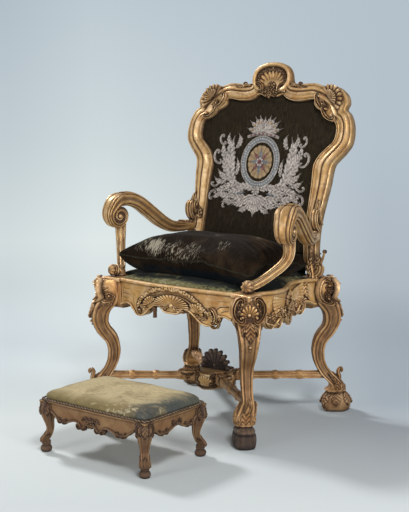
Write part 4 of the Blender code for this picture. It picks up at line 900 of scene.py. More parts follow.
def velvet(name, pile, worn, wear, streak=(60, 60, 6), patches=(), light=(0.30, 0.26, 0.19), sheen=0.03, zones=(),
           bright=1.9):
    """Old velvet: streaked pile, wear that lays the ground bare, worn patches given as a place, a size and how bare,
    and zones of another colour given as a way, its limits, how ragged and a colour."""
    material, tree, shader, place = new_material(name, 0.9)
    shader.inputs["Sheen Weight"].default_value = sheen
    shader.inputs["Sheen Roughness"].default_value = 0.4
    shader.inputs["Specular IOR Level"].default_value = 0.06
    nap = noise(tree, stretched(tree, place, streak), 1.6, 5, 0.65, 0.3)
    cloud = noise(tree, place, 9, 5, 0.6, 0.5)
    colour = mix_colour(tree, stretch_range(tree, nap, 0.35, 0.72), pile, [item * bright for item in pile])
    for way, low, high, ragged, other in zones:
        reach = wire(tree, "ShaderNodeVectorMath", {0: place, 1: way}, operation="DOT_PRODUCT").outputs["Value"]
        for wave in (cloud, nap):
            reach = maths(tree, "ADD", reach, maths(tree, "MULTIPLY", maths(tree, "SUBTRACT", wave, 0.5), ragged))
        shade = mix_colour(tree, stretch_range(tree, nap, 0.35, 0.7), other, [item * 1.7 for item in other])
        colour = mix_colour(tree, stretch_range(tree, reach, low, high), colour, shade)
    colour = mix_colour(tree, stretch_range(tree, cloud, 0.45, 0.75), colour, worn)
    bare = maths(tree, "MULTIPLY", stretch_range(tree, nap, 0.5, 0.62), stretch_range(tree, cloud, wear, wear + 0.12))
    for centre, size, strength in patches:
        spot = wire(tree, "ShaderNodeMapping", {"Vector": place, "Location": [-c / s for c, s in zip(centre, size)],
                                                "Scale": [1 / s for s in size]}).outputs[0]
        reach = wire(tree, "ShaderNodeVectorMath", {0: spot}, operation="LENGTH").outputs["Value"]
        for wave, share in ((cloud, 1.0), (nap, 1.5)):
            reach = maths(tree, "ADD", reach, maths(tree, "MULTIPLY", maths(tree, "SUBTRACT", 0.5, wave), share))
        near = maths(tree, "SUBTRACT", 1.0, stretch_range(tree, reach, 0.45, 1.1))
        torn = stretch_range(tree, maths(tree, "ADD", nap, maths(tree, "MULTIPLY", near, strength)), 0.54, 0.66)
        bare = maths(tree, "MAXIMUM", bare, maths(tree, "MULTIPLY", near, torn))
    colour = mix_colour(tree, bare, colour, light)
    tree.links.new(colour, shader.inputs["Base Color"])
    fine = noise(tree, place, 900, 2, 0.5)
    height = maths(tree, "ADD", maths(tree, "MULTIPLY", nap, 1.2), maths(tree, "MULTIPLY", fine, 0.5))
    height = maths(tree, "SUBTRACT", height, maths(tree, "MULTIPLY", bare, 0.7))
    set_bump(tree, shader, height, 0.5, 0.0016)
    return material


def timber(name, light, dark, roughness=0.6, grain=(6, 60, 60)):
    """Plain wood with its grain along X."""
    material, tree, shader, place = new_material(name, roughness)
    lines = noise(tree, stretched(tree, place, grain), 2.2, 6, 0.6, 0.6)
    cloud = noise(tree, place, 7, 3)
    colour = mix_colour(tree, stretch_range(tree, lines, 0.35, 0.7), light, dark)
    colour = mix_colour(tree, stretch_range(tree, cloud, 0.5, 0.8), colour, [item * 0.6 for item in dark])
    tree.links.new(colour, shader.inputs["Base Color"])
    set_bump(tree, shader, lines, 0.25, 0.0008)
    return material


def woven(name, light, dark, scale, roughness=0.9, sheen=0.1):
    """A plain weave of two threads."""
    material, tree, shader, place = new_material(name, roughness)
    shader.inputs["Sheen Weight"].default_value = sheen
    bands = []
    for axis in ("X", "Y"):
        bands.append(wire(tree, "ShaderNodeTexWave", {"Vector": place, "Scale": scale, "Distortion": 0.4},
                          wave_type="BANDS", bands_direction=axis).outputs[1])
    weave = maths(tree, "MULTIPLY", bands[0], bands[1])
    soil = stretch_range(tree, noise(tree, place, 12, 5), 0.4, 0.75)
    colour = mix_colour(tree, weave, dark, light)
    colour = mix_colour(tree, maths(tree, "MULTIPLY", soil, 0.5), colour, [item * 0.5 for item in dark])
    tree.links.new(colour, shader.inputs["Base Color"])
    set_bump(tree, shader, weave, 0.5, 0.001)
    return material


def thread_material(name, light, dark, roughness=0.45, metallic=0.35):
    """Couched metal thread: fine ribs, tarnished at random, and darker where the tone is low: painted shade at the foot
    of the embroidery, and the twist on the rope.
    """
    material, tree, shader, place = new_material(name, roughness, metallic)
    shader.inputs["Specular IOR Level"].default_value = 0.5 if metallic else 0.08
    tone = wire(tree, "ShaderNodeAttribute", {}, attribute_name="tone").outputs["Fac"]
    ribs = wire(tree, "ShaderNodeTexWave", {"Vector": place, "Scale": 420, "Distortion": 3.0, "Detail": 2.0},
                wave_type="BANDS", bands_direction="DIAGONAL").outputs[1]
    tarnish = stretch_range(tree, noise(tree, place, 90, 5, 0.65), 0.42, 0.7)
    # A low tone gives painted shade at the foot of the embroidery
    share = maths(tree, "MULTIPLY", maths(tree, "POWER", tone, 0.7), stretch_range(tree, ribs, 0.1, 0.7, 0.55, 1.0))
    share = maths(tree, "SUBTRACT", share, maths(tree, "MULTIPLY", tarnish, 0.35), clamp=True)
    tree.links.new(mix_colour(tree, share, dark, light), shader.inputs["Base Color"])
    set_bump(tree, shader, ribs, 0.5, 0.0006)
    return material


finishes = {}


def get_finish(name):
    """The material of that name, made when it is first asked for."""
    if name in finishes:
        return finishes[name]
    colours = bpy.context.scene.armchair_colours
    # dark is the colour of the shade painted in the hollows, and pale the colour of the painted highlights and of the
    # lighter patches
    gilt, dark = np.array(colours.gilding), tuple(colours.recess_shade)
    pale = np.minimum(gilt * (1.54, 1.90, 3.15), 1)

    def shade(colour, *share):
        return tuple(float(item) for item in colour * np.array(share))

    if name == "gilding":
        made = gilding(name, shade(pale, 1), shade(gilt, 1), dark)
    elif name == "matte_gilding":
        made = gilding(name, shade(pale, 0.95), shade(gilt, 1.0, 0.98, 0.86), dark, 0.44, 0.4, 0.35)
    # The legs and stretchers get a darker, browner copy of the gilding as painted shade where they face away from the
    # lamps, lighter above the knee
    elif name == "shaded_leg_gilding":
        made = gilding(name, shade(pale, 0.72, 0.64, 0.56), shade(gilt, 0.74, 0.66, 0.62), dark, 0.38, 0.45,
                       upper=(0.40, 0.47, (1.36, 1.42, 1.50)))
    elif name == "stool_gilding":
        made = gilding(name, shade(pale, 0.27, 0.23, 0.17), shade(gilt, 0.31, 0.28, 0.34), (0.052, 0.026, 0.017),
                       0.46, 0.3, upper=(0.035, 0.075, (1.35, 1.32, 1.2)))
    elif name == "brown_gilding":
        made = gilding(name, shade(pale, 0.62, 0.56, 0.5), shade(gilt, 0.52, 0.50, 0.60), dark, 0.46, 0.4)
    elif name == "dark_carving":
        made = gilding(name, shade(pale, 0.20, 0.17, 0.15), (0.065, 0.037, 0.026), (0.018, 0.010, 0.008), 0.5, 0.15)
    elif name == "back_velvet":
        made = velvet(name, tuple(colours.velvet), (0.024, 0.018, 0.011), 0.70, (110, 110, 5),
                      light=(0.085, 0.07, 0.05), bright=3.0)
    elif name == "cushion_velvet":
        spots = (((-0.150, -0.172, 0.648), (0.048, 0.040, 0.05), 0.17),
                 ((-0.03, -0.17, 0.645), (0.10, 0.05, 0.06), 0.03),
                 ((-0.21, -0.10, 0.645), (0.07, 0.10, 0.05), 0.05), ((0.043, -0.03, 0.672), (0.035, 0.03, 0.03), 0.02),
                 ((0.07, 0.06, 0.672), (0.03, 0.03, 0.03), 0.02), ((0.14, -0.13, 0.66), (0.035, 0.03, 0.03), 0.02))
        spots = [([c + o for c, o in zip(centre, chair_origin)], size, bare) for centre, size, bare in spots]
        underside = ((0, 0, -1), -0.580, -0.560, 0.02, (0.004, 0.0065, 0.009))
        made = velvet(name, shade(np.array(colours.velvet), 0.50, 0.40, 0.38), (0.038, 0.022, 0.010), 0.66,
                      (150, 26, 34), spots, (0.33, 0.29, 0.22), zones=(underside,), bright=2.9)
    elif name == "seat_velvet":
        y = chair_origin[1]
        made = velvet(name, (0.009, 0.012, 0.010), (0.15, 0.13, 0.06), 0.50, (40, 60, 30), light=(0.28, 0.26, 0.15),
                      zones=(((0, -1, 0), -y + 0.205, -y + 0.252, 0.08, (0.15, 0.135, 0.062)),))
    elif name == "stool_velvet":
        x, y = stool_origin[:2]
        zones = (((0, -1, 0), -y + 0.096, -y + 0.152, 0.08, (0.150, 0.115, 0.052)),
                 ((-1, 0, 0), -x + 0.185, -x + 0.235, 0.05, (0.125, 0.10, 0.05)),
                 ((0, 1, 0), y + 0.100, y + 0.150, 0.10, (0.080, 0.078, 0.062)),
                 ((1, 0, 0), x + 0.145, x + 0.215, 0.12, (0.070, 0.072, 0.058)),
                 ((1, -0.45, 0), x - 0.45 * y + 0.172, x - 0.45 * y + 0.236, 0.10, (0.056, 0.060, 0.056)))
        made = velvet(name, tuple(colours.stool_velvet), (0.27, 0.20, 0.095), 0.51, (30, 90, 40),
                      light=(0.50, 0.43, 0.28), sheen=0.05, zones=zones, bright=1.42)
    elif name == "timber":
        made = timber(name, (0.42, 0.29, 0.17), (0.24, 0.15, 0.08))
    elif name == "webbing":
        made = woven(name, (0.42, 0.33, 0.20), (0.20, 0.15, 0.09), 180)
    elif name == "lining":
        made = woven(name, (0.12, 0.085, 0.05), (0.05, 0.035, 0.022), 320)
    elif name == "silver_thread":
        made = thread_material(name, tuple(colours.thread), (0.055, 0.043, 0.038))
    elif name == "blue_thread":
        made = thread_material(name, (0.27, 0.31, 0.34), (0.05, 0.055, 0.06))
    elif name == "ochre_thread":
        made = thread_material(name, (0.52, 0.36, 0.19), (0.16, 0.09, 0.045))
    elif name == "crimson_thread":
        made = thread_material(name, (0.27, 0.10, 0.10), (0.08, 0.025, 0.03))
    elif name == "braid":
        made = thread_material(name, (0.034, 0.030, 0.018), (0.006, 0.007, 0.006), 0.85, 0.0)
    elif name == "rope":
        made = thread_material(name, (0.34, 0.245, 0.165), (0.040, 0.022, 0.015), 0.8, 0.0)
    elif name == "nail_heads":
        made = gilding(name, shade(pale, 1), shade(gilt, 1), dark, 0.32, 0.9)
    else:
        raise ValueError(f"no finish named {name}")
    finishes[name] = made
    return made


# Carved pieces

def make_leg_piece(leg, relief):
    carving = Carving()
    leg.body(carving, 0.0741, 0.512, 96, 64, 0.0024, 0.0030)
    leg.block_on(carving, stump_size, 0.014, (
        (404, -20, 0.3), (412, -8, 0.5), (424, -5, 0.7), (500, -5, 0.8), (503, -1, 0.3), (507, 2.5, 0.9),
        (512.5, 4, 1.0), (517.5, 2.5, 0.95), (519.9, -2, 0.8)))
    face, shield, flanks = leg.face, leg.shield, [leg.flank(sign) for sign in (-1, 1)]
    for flank in flanks:
        if leg.end < 0:
            size, turn = np.linspace(30, 7, 70), np.radians(np.linspace(95, -430, 70))
            spiral = np.stack([4 + size * np.cos(turn), 452 + size * np.sin(turn) * 0.95], axis=1)
            carving.ribbon(flank, spiral, np.linspace(11, 6, 70), 6.5, gutter, sink=10)
            carving.bead(flank, (4, 452), 5.5, 8)
            carving.leaves(flank, 5, 4, (-18, 412, -4, 424, 10, 420, 20, 405, 18), tones=(0.0, 0.6))
        else:
            carving.scroll(flank, (6, 514, 12, 422), 13.5, 14, belly=0.16, tall=46, tones=(0.4, 1.0))
            carving.leaves(flank, 11, 4, (0, 508, 10, 500, 18, 490, 30, 488, 20),
                           (-4, 490, 8, 478, 18, 468, 32, 468, 22), (-4, 468, 6, 456, 16, 446, 30, 444, 22),
                           (0, 446, 8, 436, 18, 430, 28, 420, 18), lift=4, tones=(0.0, 0.7))
        for low, high in ((300, 380), (200, 270)):
            carving.ribbon(flank, [(0, low), (0, low + 0.3 * (high - low)), (0, high)], [4, 7, 3], 1.6, leafed(7), 7,
                           tones=(0.0, 0.5))
    for sign in (-1, 1):
        half = mirrored(shield, sign)
        carving.scroll(half, (27, 515, 23, 431), 12.5, 18 * relief, -0.62, belly=0.11, tall=36, tones=(0.2, 1.0))
        carving.leaves(half, 9 * relief, 3, (6, 502, 14, 508, 22, 505, 28, 497, 14), tones=(0.0, 0.7))
        carving.leaves(half, 10 * relief, 3, (29, 512, 37, 502, 39, 488, 34, 474, 13),
                       (30, 474, 38, 464, 39, 450, 33, 438, 13), lift=4, tones=(0.2, 1.0))
        carving.leaves(mirrored(face, sign), 8 * relief, 3, (6, 428, 18, 418, 26, 402, 24, 386, 18), lift=3,
                       tones=(0.0, 0.9))
    carving.fan(shield, (0, 452), 40, 9, 112, 90, 14 * relief, 0.30, -1, stretch=0.80, tones=(0.0, 0.95), scallop=0.18)
    carving.rocaille(shield, (-27, 462, -25, 484, 0, 496, 25, 484, 27, 462), 10, 8, 10 * relief, tones=(0.0, 0.6))
    carving.bead(shield, (0, 455), 8, 10, tones=(0.1, 0.9))
    carving.ribbon(shield, [(-30, 436.5), (-10, 434.5), (10, 434.5), (30, 436.5)], 11, 3, tones=(0, 0.05))
    carving.leaves(face, 10 * relief, 5, (0, 434, 0, 412, 0, 390, 0, 362, 44), lift=5, tones=(0.0, 0.9))
    carving.bead(face, (0, 350), 5.8, 8, 1)
    carving.bead(face, (0, 338), 3.8, 5, 1)
    if leg.end > 0:
        @surface
        def cheek(u, v, h):
            """The outer side of a rear block: u forward from its back."""
            swell = 0.004 + 0.012 * bump(u, 0.030, 0.034)
            return leg.side * (seat_half_width[1] + swell + h), seat_reach[1] - u, v

        carving.scroll(cheek, (36, 520, 30, 426), 14, 13, -0.6, belly=0.12, tall=46, tones=(0.35, 1.0))
        carving.leaves(cheek, 13, 4, (30, 505, 20, 494, 16, 478, 22, 462, 20), (30, 470, 18, 462, 12, 448, 16, 434, 18),
                       (22, 512, 8, 506, 0, 494, 2, 480, 18), (16, 486, 4, 476, 0, 462, 6, 448, 16), lift=4,
                       tones=(0.0, 0.75))
    # The leaves round the ankle, with a frilled collar under them
    for place, middle in ((face, 0.0), (flanks[0], 0.008), (flanks[1], 0.008)):
        carving.leaves(mirrored(place, 1, middle), 7 * relief, 5, (0, 78, 0, 100, 0, 125, 0, 150, 40), lift=4,
                       tones=(0.0, 0.95))
        for sign in (-1, 1):
            carving.leaves(mirrored(place, sign, middle), 6 * relief, 3, (14, 78, 18, 95, 17, 112, 10, 128, 19), lift=3,
                           tones=(0.0, 0.9))
    turn = turns(96)
    wave = np.abs(np.sin(6 * turn))
    collar = np.array(((74.5, -2), (76.5, 4), (80, 7.5), (84.5, 6), (88, 1))) / 1000
    height, grow = collar[:, 0:1], collar[:, 1:2] * (1 + 0.16 * wave)
    middle, half_out, half_side, toe = leg.read(height)
    out, aside = soft_square(turn, 0.8)
    carving.loft(leg.point(middle + (half_out + grow) * out, (half_side + grow) * aside + toe, height),
                 (0.35 + 0.6 * wave)[None, :])
    # The curled bud that stands off the ankle
    curl = drawn((50, 112, 54, 128, 51, 143, 50, 154, 55, 163, 63, 162, 65, 154, 60, 150), 40) / 1000
    size = np.interp(np.linspace(0, 1, 40), [0, 0.35, 0.7, 1], [0.0085, 0.0085, 0.0065, 0.0045])
    line = leg.point(curl[:, 0], leg.read(curl[:, 1])[3], curl[:, 1])
    carving.sweep(line, size * 1.2, size, leg.outward, (0.1, 0.8), 15, 5, 0.0009)
    return carving


def make_foot_piece(leg):
    """A foot: a dark cleft pad in front, and a leaved ball behind."""
    carving = Carving()
    top, front = 0.0741, leg.end < 0
    profile = ((0, 0.80), (0.08, 0.93), (0.3, 1.0), (0.6, 0.97), (0.82, 0.82), (1, 0.60))

    def skin(angle, height, h):
        share = np.clip(height / top, 0, 1)
        size = through(profile, share)[..., 0]
        out, aside = soft_square(angle, 0.62 if front else 0.92)
        if front:
            grow = h - 0.0030 * bump(np.abs(aside), 0, 0.12) * (out > 0) * ease(share / 0.15)
            grow = grow + 0.0030 * bump(share, 0.84, 0.10) - 0.0025 * bump(share, 0.70, 0.05)
            grow = grow + 0.0014 * np.cos(8 * angle) * bump(share, 0.35, 0.35)
        else:
            grow = h + 0.0025 * np.cos(5 * angle) * bump(share, 0.35, 0.4)
        return leg.point(0.043 + out * (0.055 * size + grow), leg.toe + aside * (0.040 * size + grow), height)

    def wrapped(u, v, h):
        return skin(u / 0.045, v, h)

    heights, angle = np.linspace(0, top, 34)[:, None], turns(84)[None, :]
    share = heights / top
    if front:
        tone = 0.45 + 0.5 * ease((share - 0.70) / 0.1) - 0.35 * bump(share, 0.70, 0.06) + 0.12 * np.cos(8 * angle)
        tone = tone - 0.25 * bump(np.sin(angle), 0, 0.12) * (np.cos(angle) > 0)
    else:
        tone = 0.75 + 0.2 * np.cos(5 * angle) * bump(share, 0.35, 0.4)
    carving.loft(skin(angle, heights, 0.0), np.clip(tone, 0, 1))
    if not front:
        for height, turn in ((10, -2.50), (21, -2.72), (33, -2.80), (45, -2.76), (56, -2.62), (65, -2.36)):
            carving.bead(wrapped, (45 * turn, height), 7.2, 9, tones=(0.0, 0.45))
        for step in range(7):
            carving.leaves(mirrored(wrapped, 1, 0.045 * math.radians(-150 + 50 * step)), 6.5, 4,
                           (0, 73, 2, 60, 1, 45, 3, 24, 34), lift=4, tones=(0.05, 1.0), count=34)
    return carving


def front_carving(carving, apron, relief):
    """The shell, rocaille, scrolls and sunk lines on the front apron."""
    apron.edge(carving, 9, 5, 4, 200)
    apron.cord(carving, 420, 70)
    arch = np.array([(-150, 432), (-137, 452), (-100, 478), (-50, 493.5), (0, 497.5), (50, 494.5), (92, 480),
                     (125, 458), (150, 437), (172, 428)])
    carving.rocaille(apron, arch, 18, 26, 10 * relief, 1, tones=(0.05, 0.75))
    carving.ribbon(apron, drawn(arch * (0.93, 1) - (0, 11), 120, 120), 6, 8 * relief, ridge, 5)
    carving.fan(apron, (3, 448), 39, 17, 104, 90, 11 * relief, 0.30, stretch=2.1, scallop=0.06, tones=(0.3, 1.0),
                per_rib=6)
    for u, v, turn in ((-100, 444, 118), (112, 438, 60)):
        carving.fan(apron, (u, v), 27, 7, 80, turn, 7 * relief, 0.4, stretch=1.3, tones=(0.2, 0.9))
    carving.bead(apron, (3, 449), 10, 10, tones=(0.4, 1))
    carving.leaves(apron, 8, 4, (12, 449, 35, 436, 60, 431, 85, 433, 18), lift=3)
    carving.leaves(apron, 7, 4, (-6, 449, -25, 438, -45, 437, -62, 442, 15), lift=3)
    carving.scroll(apron, (174, 457, 186, 402), 11, 12, -0.6, tall=22)
    carving.scroll(apron, (205, 412, 178, 397), 9, 9, -0.5)
    carving.scroll(apron, (-142, 460, -152, 404), 10, 10, tall=20)
    carving.leaves(apron, 7, 5, (-150, 436, -125, 424, -105, 416, -82, 428, 20),
                   (160, 424, 140, 418, 120, 425, 104, 434, 18))
    carving.leaves(apron, 7, 4, (190, 440, 205, 432, 214, 418, 210, 405, 18))
    carving.ribbon(apron, [(-76, 436), (-75.5, 422), (-75.5, 408), (-76, 396)], [14, 12, 10, 13], 10, tones=(0, 0.15))
    for sign in (-1, 1):
        carving.lines(mirrored(apron, sign), 0.6, 3.2, 1.8, 3.0, (247, 488.5, 200, 488.5, 150, 488, 126, 486.5),
                      (249.5, 500, 249.5, 475, 249.5, 450, 249.5, 437), (245, 470, 215, 468, 195, 455, 188, 430),
                      (243, 455, 225, 452, 210, 440, 205, 422))


def side_carving(carving, apron, relief):
    """The smooth lobes, hollows, rims and rays on a side apron."""
    apron.edge(carving, 10, 8, 4.5, 190, tones=(0.4, 1.0))
    apron.cord(carving, 320, 52)
    for u, v, size, turn, spread, ribs in ((-28, 478, 98, 190, 24, 6), (38, 478, 108, -6, 24, 7),
                                           (-52, 466, 60, 228, 22, 5), (72, 464, 58, -56, 22, 5)):
        carving.fan(apron, (u, v), size, ribs, spread, turn, 5 * relief, 0.25, scallop=0.03, tones=(0.62, 1.0))
    carving.fan(apron, (6, 470), 34, 7, 100, 90, 12 * relief, 0.35, stretch=1.5, tones=(0.4, 1))
    carving.scroll(apron, (-46, 470, 54, 470), 10, 13, 0.55, belly=0.12, tall=40, tones=(0.3, 1.0))
    for middle, low, wide, tall in ((-126, 392, 20, 48), (-58, 420, 16, 34), (4, 386, 24, 56), (102, 398, 22, 44)):
        carving.fan(apron, (middle, low + tall), wide * 1.7, 3, 34, -90, 4, 0.6, scallop=0.02, tones=(0, 0.25))
        for sign in (-1, 1):
            carving.scroll(mirrored(apron, sign, middle / 1000), (wide * 1.3, low + tall, wide * 0.5, low), 10, 15,
                           -0.6, tall=20, tones=(0.55, 1.0))
        row = [item for share in (1.15, 0.85, 0.6, 0.35) for item in (middle, low + tall * share)]
        carving.leaves(apron, 10, 4, (*row, 20), lift=3, tones=(0.1, 0.9))
    carving.leaves(apron, 10, 3, (48, 410, 60, 404, 70, 404, 78, 412, 18))
    carving.leaves(apron, 9, 5, (156, 510, 150, 485, 158, 462, 166, 440, 28))
    carving.leaves(apron, 9, 4, (128, 446, 146, 444, 160, 436, 174, 428, 22),
                   (-88, 462, -100, 450, -98, 432, -86, 418, 22))
    carving.lines(apron, 0.5, 3, 1.6, 2.8, (-170, 488.5, -130, 488, -100, 487, -70, 484),
                  (-171, 500, -171, 470, -171, 450, -171, 436))


def make_rail_piece(word, relief):
    carving = Carving()
    apron = {"front": front_apron, "back": back_apron, "left": side_aprons[-1], "right": side_aprons[1]}[word]
    if word == "back":
        apron.body(carving, 0.045, 0.016, 0.022, 0.012, 61, 0.001)
        apron.edge(carving, 8, 4, 4, 90)
    else:
        apron.body(carving, 0.045 if word == "front" else 0.062, 0.016, 0.022, 0.012, 121)
        (front_carving if word == "front" else side_carving)(carving, apron, relief)
    return carving


def make_stretcher(side, end):
    """A reeded bar with ring collars and a leaf and curl near the hub."""
    carving = Carving()
    level, half = 0.141, 0.0135
    ankle = np.array([side * seat_half_width[end], end * seat_reach[end], 0.0])
    length = np.linalg.norm(ankle)
    way = ankle / length
    ways = (way, np.array([-way[1], way[0], 0.0]), upward)
    t = np.linspace(0.0, 1.0, 150)
    distance = length + (0.0553 - length) * t
    size = np.interp(t, *np.array(stretcher_table).T) * half
    size = np.convolve(np.pad(size, 2, mode="edge"), np.ones(5) / 5, mode="valid")[:, None]
    angle = turns(48, 0.5)
    rise, wide = soft_square(angle, 0.62)
    collar = np.clip((size / half - 1.05) / 0.2, 0, 1)
    reed = np.cos(12 * angle)[None, :] * (1 - collar)
    grow = size + 0.0016 * reed
    rings = span(0, ways, (distance[:, None], grow * wide, level + grow * rise))
    carving.loft(rings, 0.75 + 0.25 * reed - 0.1 * collar)

    def top(u, v, h):
        return span(0, ways, (u, v, level + half + h))

    carving.leaves(top, 8, 5, (60, 0, 85, 0, 110, 0, 135, 0, 32), base=2, lift=4)
    carving.scroll(top, (128, 4, 85, 12), 10, 8, 0.6, 0.5)
    for sign in (-1, 1):
        def flank(u, v, h, sign=sign):
            return span(0, ways, (u, sign * (half + h), level + v))

        carving.leaves(flank, 7, 5, (58, 4, 80, 8, 100, 4, 125, 6, 28), base=2)
        carving.scroll(flank, (70, -12, 108, -10), 10, 8, -0.6, -0.5)
    swing, shrink = np.linspace(-2.2, 2.6, 30), np.linspace(1, 0.45, 30)
    curl = np.stack([0.130 + 0.012 * np.cos(swing) * shrink, 0.012 + 0.012 * np.sin(swing) * shrink], axis=1)
    step = unit(np.gradient(curl, axis=0))
    thick = np.linspace(0.0075, 0.0045, 30)[:, None]
    lean, wide = thick * np.cos(turns(12)), 1.3 * thick * np.sin(turns(12))
    reaches = (curl[:, 0:1] - step[:, 1:2] * lean, wide, level + curl[:, 1:2] + step[:, 0:1] * lean)
    carving.loft(span(0, ways, reaches), 0.4)
    return carving


def make_hub_piece():
    """The carved block where the bars meet, with a scrolled lobe between each pair."""
    carving = Carving()
    ways = sorted(math.atan2(end * seat_reach[end], side * seat_half_width[end]) % (2 * np.pi)
                  for side in (-1, 1) for end in (-1, 1))
    lobes = []
    for way, after in zip(ways, ways[1:] + ways[:1]):
        gap = (after - way) % (2 * np.pi)
        lobes.append((way + gap / 2, gap))
    angles = turns(192)
    radius = np.full(192, 0.060)
    for middle, gap in lobes:
        off = np.abs((angles - middle + np.pi) % (2 * np.pi) - np.pi)
        radius = np.maximum(radius, 0.0585 + 0.0135 * ease((gap * 0.36 - off) / 0.18))
    levels = np.array((
        (0, 0.60, 0.3), (0.08, 0.80, 0.4), (0.2, 0.93, 0.6), (0.30, 1.0, 0.9), (0.40, 0.985, 0.7), (0.62, 0.985, 0.75),
        (0.78, 1.0, 0.95), (0.9, 0.99, 0.9), (0.96, 0.96, 0.6), (1, 0.92, 0.5)))
    size = radius * levels[:, 1:2]
    rings = stacked(np.cos(angles) * size, np.sin(angles) * size, 0.095 + 0.071 * levels[:, 0:1])
    carving.loft(rings, levels[:, 2])
    for middle, gap in lobes:
        @surface
        def lobe(u, v, h, middle=middle):
            angle = middle + u / 0.072
            return (0.0705 + h) * np.cos(angle), (0.0705 + h) * np.sin(angle), v

        wide = 72 * gap * 0.30
        for sign in (-1, 1):
            half = mirrored(lobe, sign)
            carving.scroll(half, (wide * 0.82, 156, wide * 0.75, 111), 11, 8, -0.55, belly=0.2, tones=(0, 0.45))
            carving.leaves(half, 7, 4, (wide * 1.05, 118, wide * 1.2, 130, wide * 1.15, 145, wide * 1.3, 156, 18),
                           tones=(0.05, 0.6))
        carving.fan(lobe, (0, 112), 40, 7, 60, 90, 6, 0.3, tones=(0.4, 1.0))
        for ends, middle, height, relief, high in ((163, 160, 6, twisted(9), 0.6), (106, 101, 4, dome, 0.5)):
            carving.ribbon(lobe, even([(-wide, ends), (0, middle), (wide, ends)], 30), 7, height, relief, 7,
                           tones=(0, high))
    return carving


def make_shell_piece():
    """The upright scallop shell, ribbed on both faces, with a beaded rim."""
    carving = Carving()
    base, ribs = 0.1708, 9

    def swing(share):
        return np.pi * (1.06 * share - 0.03)

    def reach(angle, wide, tall):
        return wide * np.cos(angle) ** 2 + tall * np.sin(angle) ** 2

    along = np.linspace(0, 1, ribs * 10 + 1)[:, None]
    angle, wave = swing(along), np.abs(np.sin(np.pi * ribs * along))
    rim = reach(angle, 0.064, 0.069) * (0.90 + 0.10 * wave**0.6)
    front = np.linspace(0.14, 1, 12)[None, :]
    dish = 0.007 * (1 - front) ** 1.5 + 0.006 * front**2 + 0.0035 * wave * np.sin(np.pi * np.minimum(front * 0.8, 1))
    dish = dish + 0.004 * bump(front, 0.90, 0.07) * wave
    rear = np.array([[1.0, 0.86, 0.65, 0.4, 0.14]])
    full = np.array([[-0.001, -0.0052, -0.0075, -0.0088, -0.0088]]) - 0.0015 * wave
    size = rim * np.concatenate([front, rear], axis=1)
    forward = np.concatenate([dish, full], axis=1)
    rings = stacked(size * np.cos(angle), -forward, np.maximum(base + size * np.sin(angle), 0.1664))
    carving.loft(rings, np.concatenate([0.15 + 0.6 * wave * front, 0.3 + 0.3 * wave * rear], axis=1))
    plane = surface(lambda u, v, h: (u, -h, v))
    for shift, first, wide, tall, radius, height, sink, high in (
        (0.5, 0, 62, 66, 7.2, 6.5, 10, 0.6), (0, 1, 50, 58, 3.0, 3, 8, 0.5),
    ):
        for index in range(first, ribs):
            turn = swing((index + shift) / ribs)
            size = reach(turn, wide, tall)
            centre = (size * math.cos(turn), 1000 * base + size * math.sin(turn))
            carving.bead(plane, centre, radius, height, 4, sink, tones=(0.1, high))
    for sign in (-1, 1):
        carving.scroll(mirrored(plane, sign), (8, 176, 44, 173), 11, 10, -0.6, base=2, tones=(0, 0.5))
    carving.bead(plane, (0, 180), 9, 10, 3, tones=(0.1, 0.5))
    return carving


def frame_edges(places):
    """The outer and the inner edge of the back frame at some places along one side, across and up."""
    row = through([(index, *row) for index, row in enumerate(frame_table)], places)
    row = row * ([back_half_width, back_rise] * 2) + [0, seat_height] * 2
    return row[:, :2], row[:, 2:]


def frame_rings(places, side):
    """Rings of the back frame's moulding at some places along one side."""
    outer, inner = frame_edges(places)
    share, lift, tone = np.array(frame_section).T
    across = inner[:, None] + (outer - inner)[:, None] * share[None, :, None]
    swell = ease((3.2 - places) / 0.8)[:, None]
    # The moulding sinks under the shells at the corners
    corner = bump(places, 11.5, 2.6)[:, None] * (share > 0.42)
    forward = frame_depth * lift * (1 - (0.45 * swell + 0.5 * corner) * (lift > 0))
    return back_plane(side * across[..., 0], across[..., 1], forward), tone[None, :]


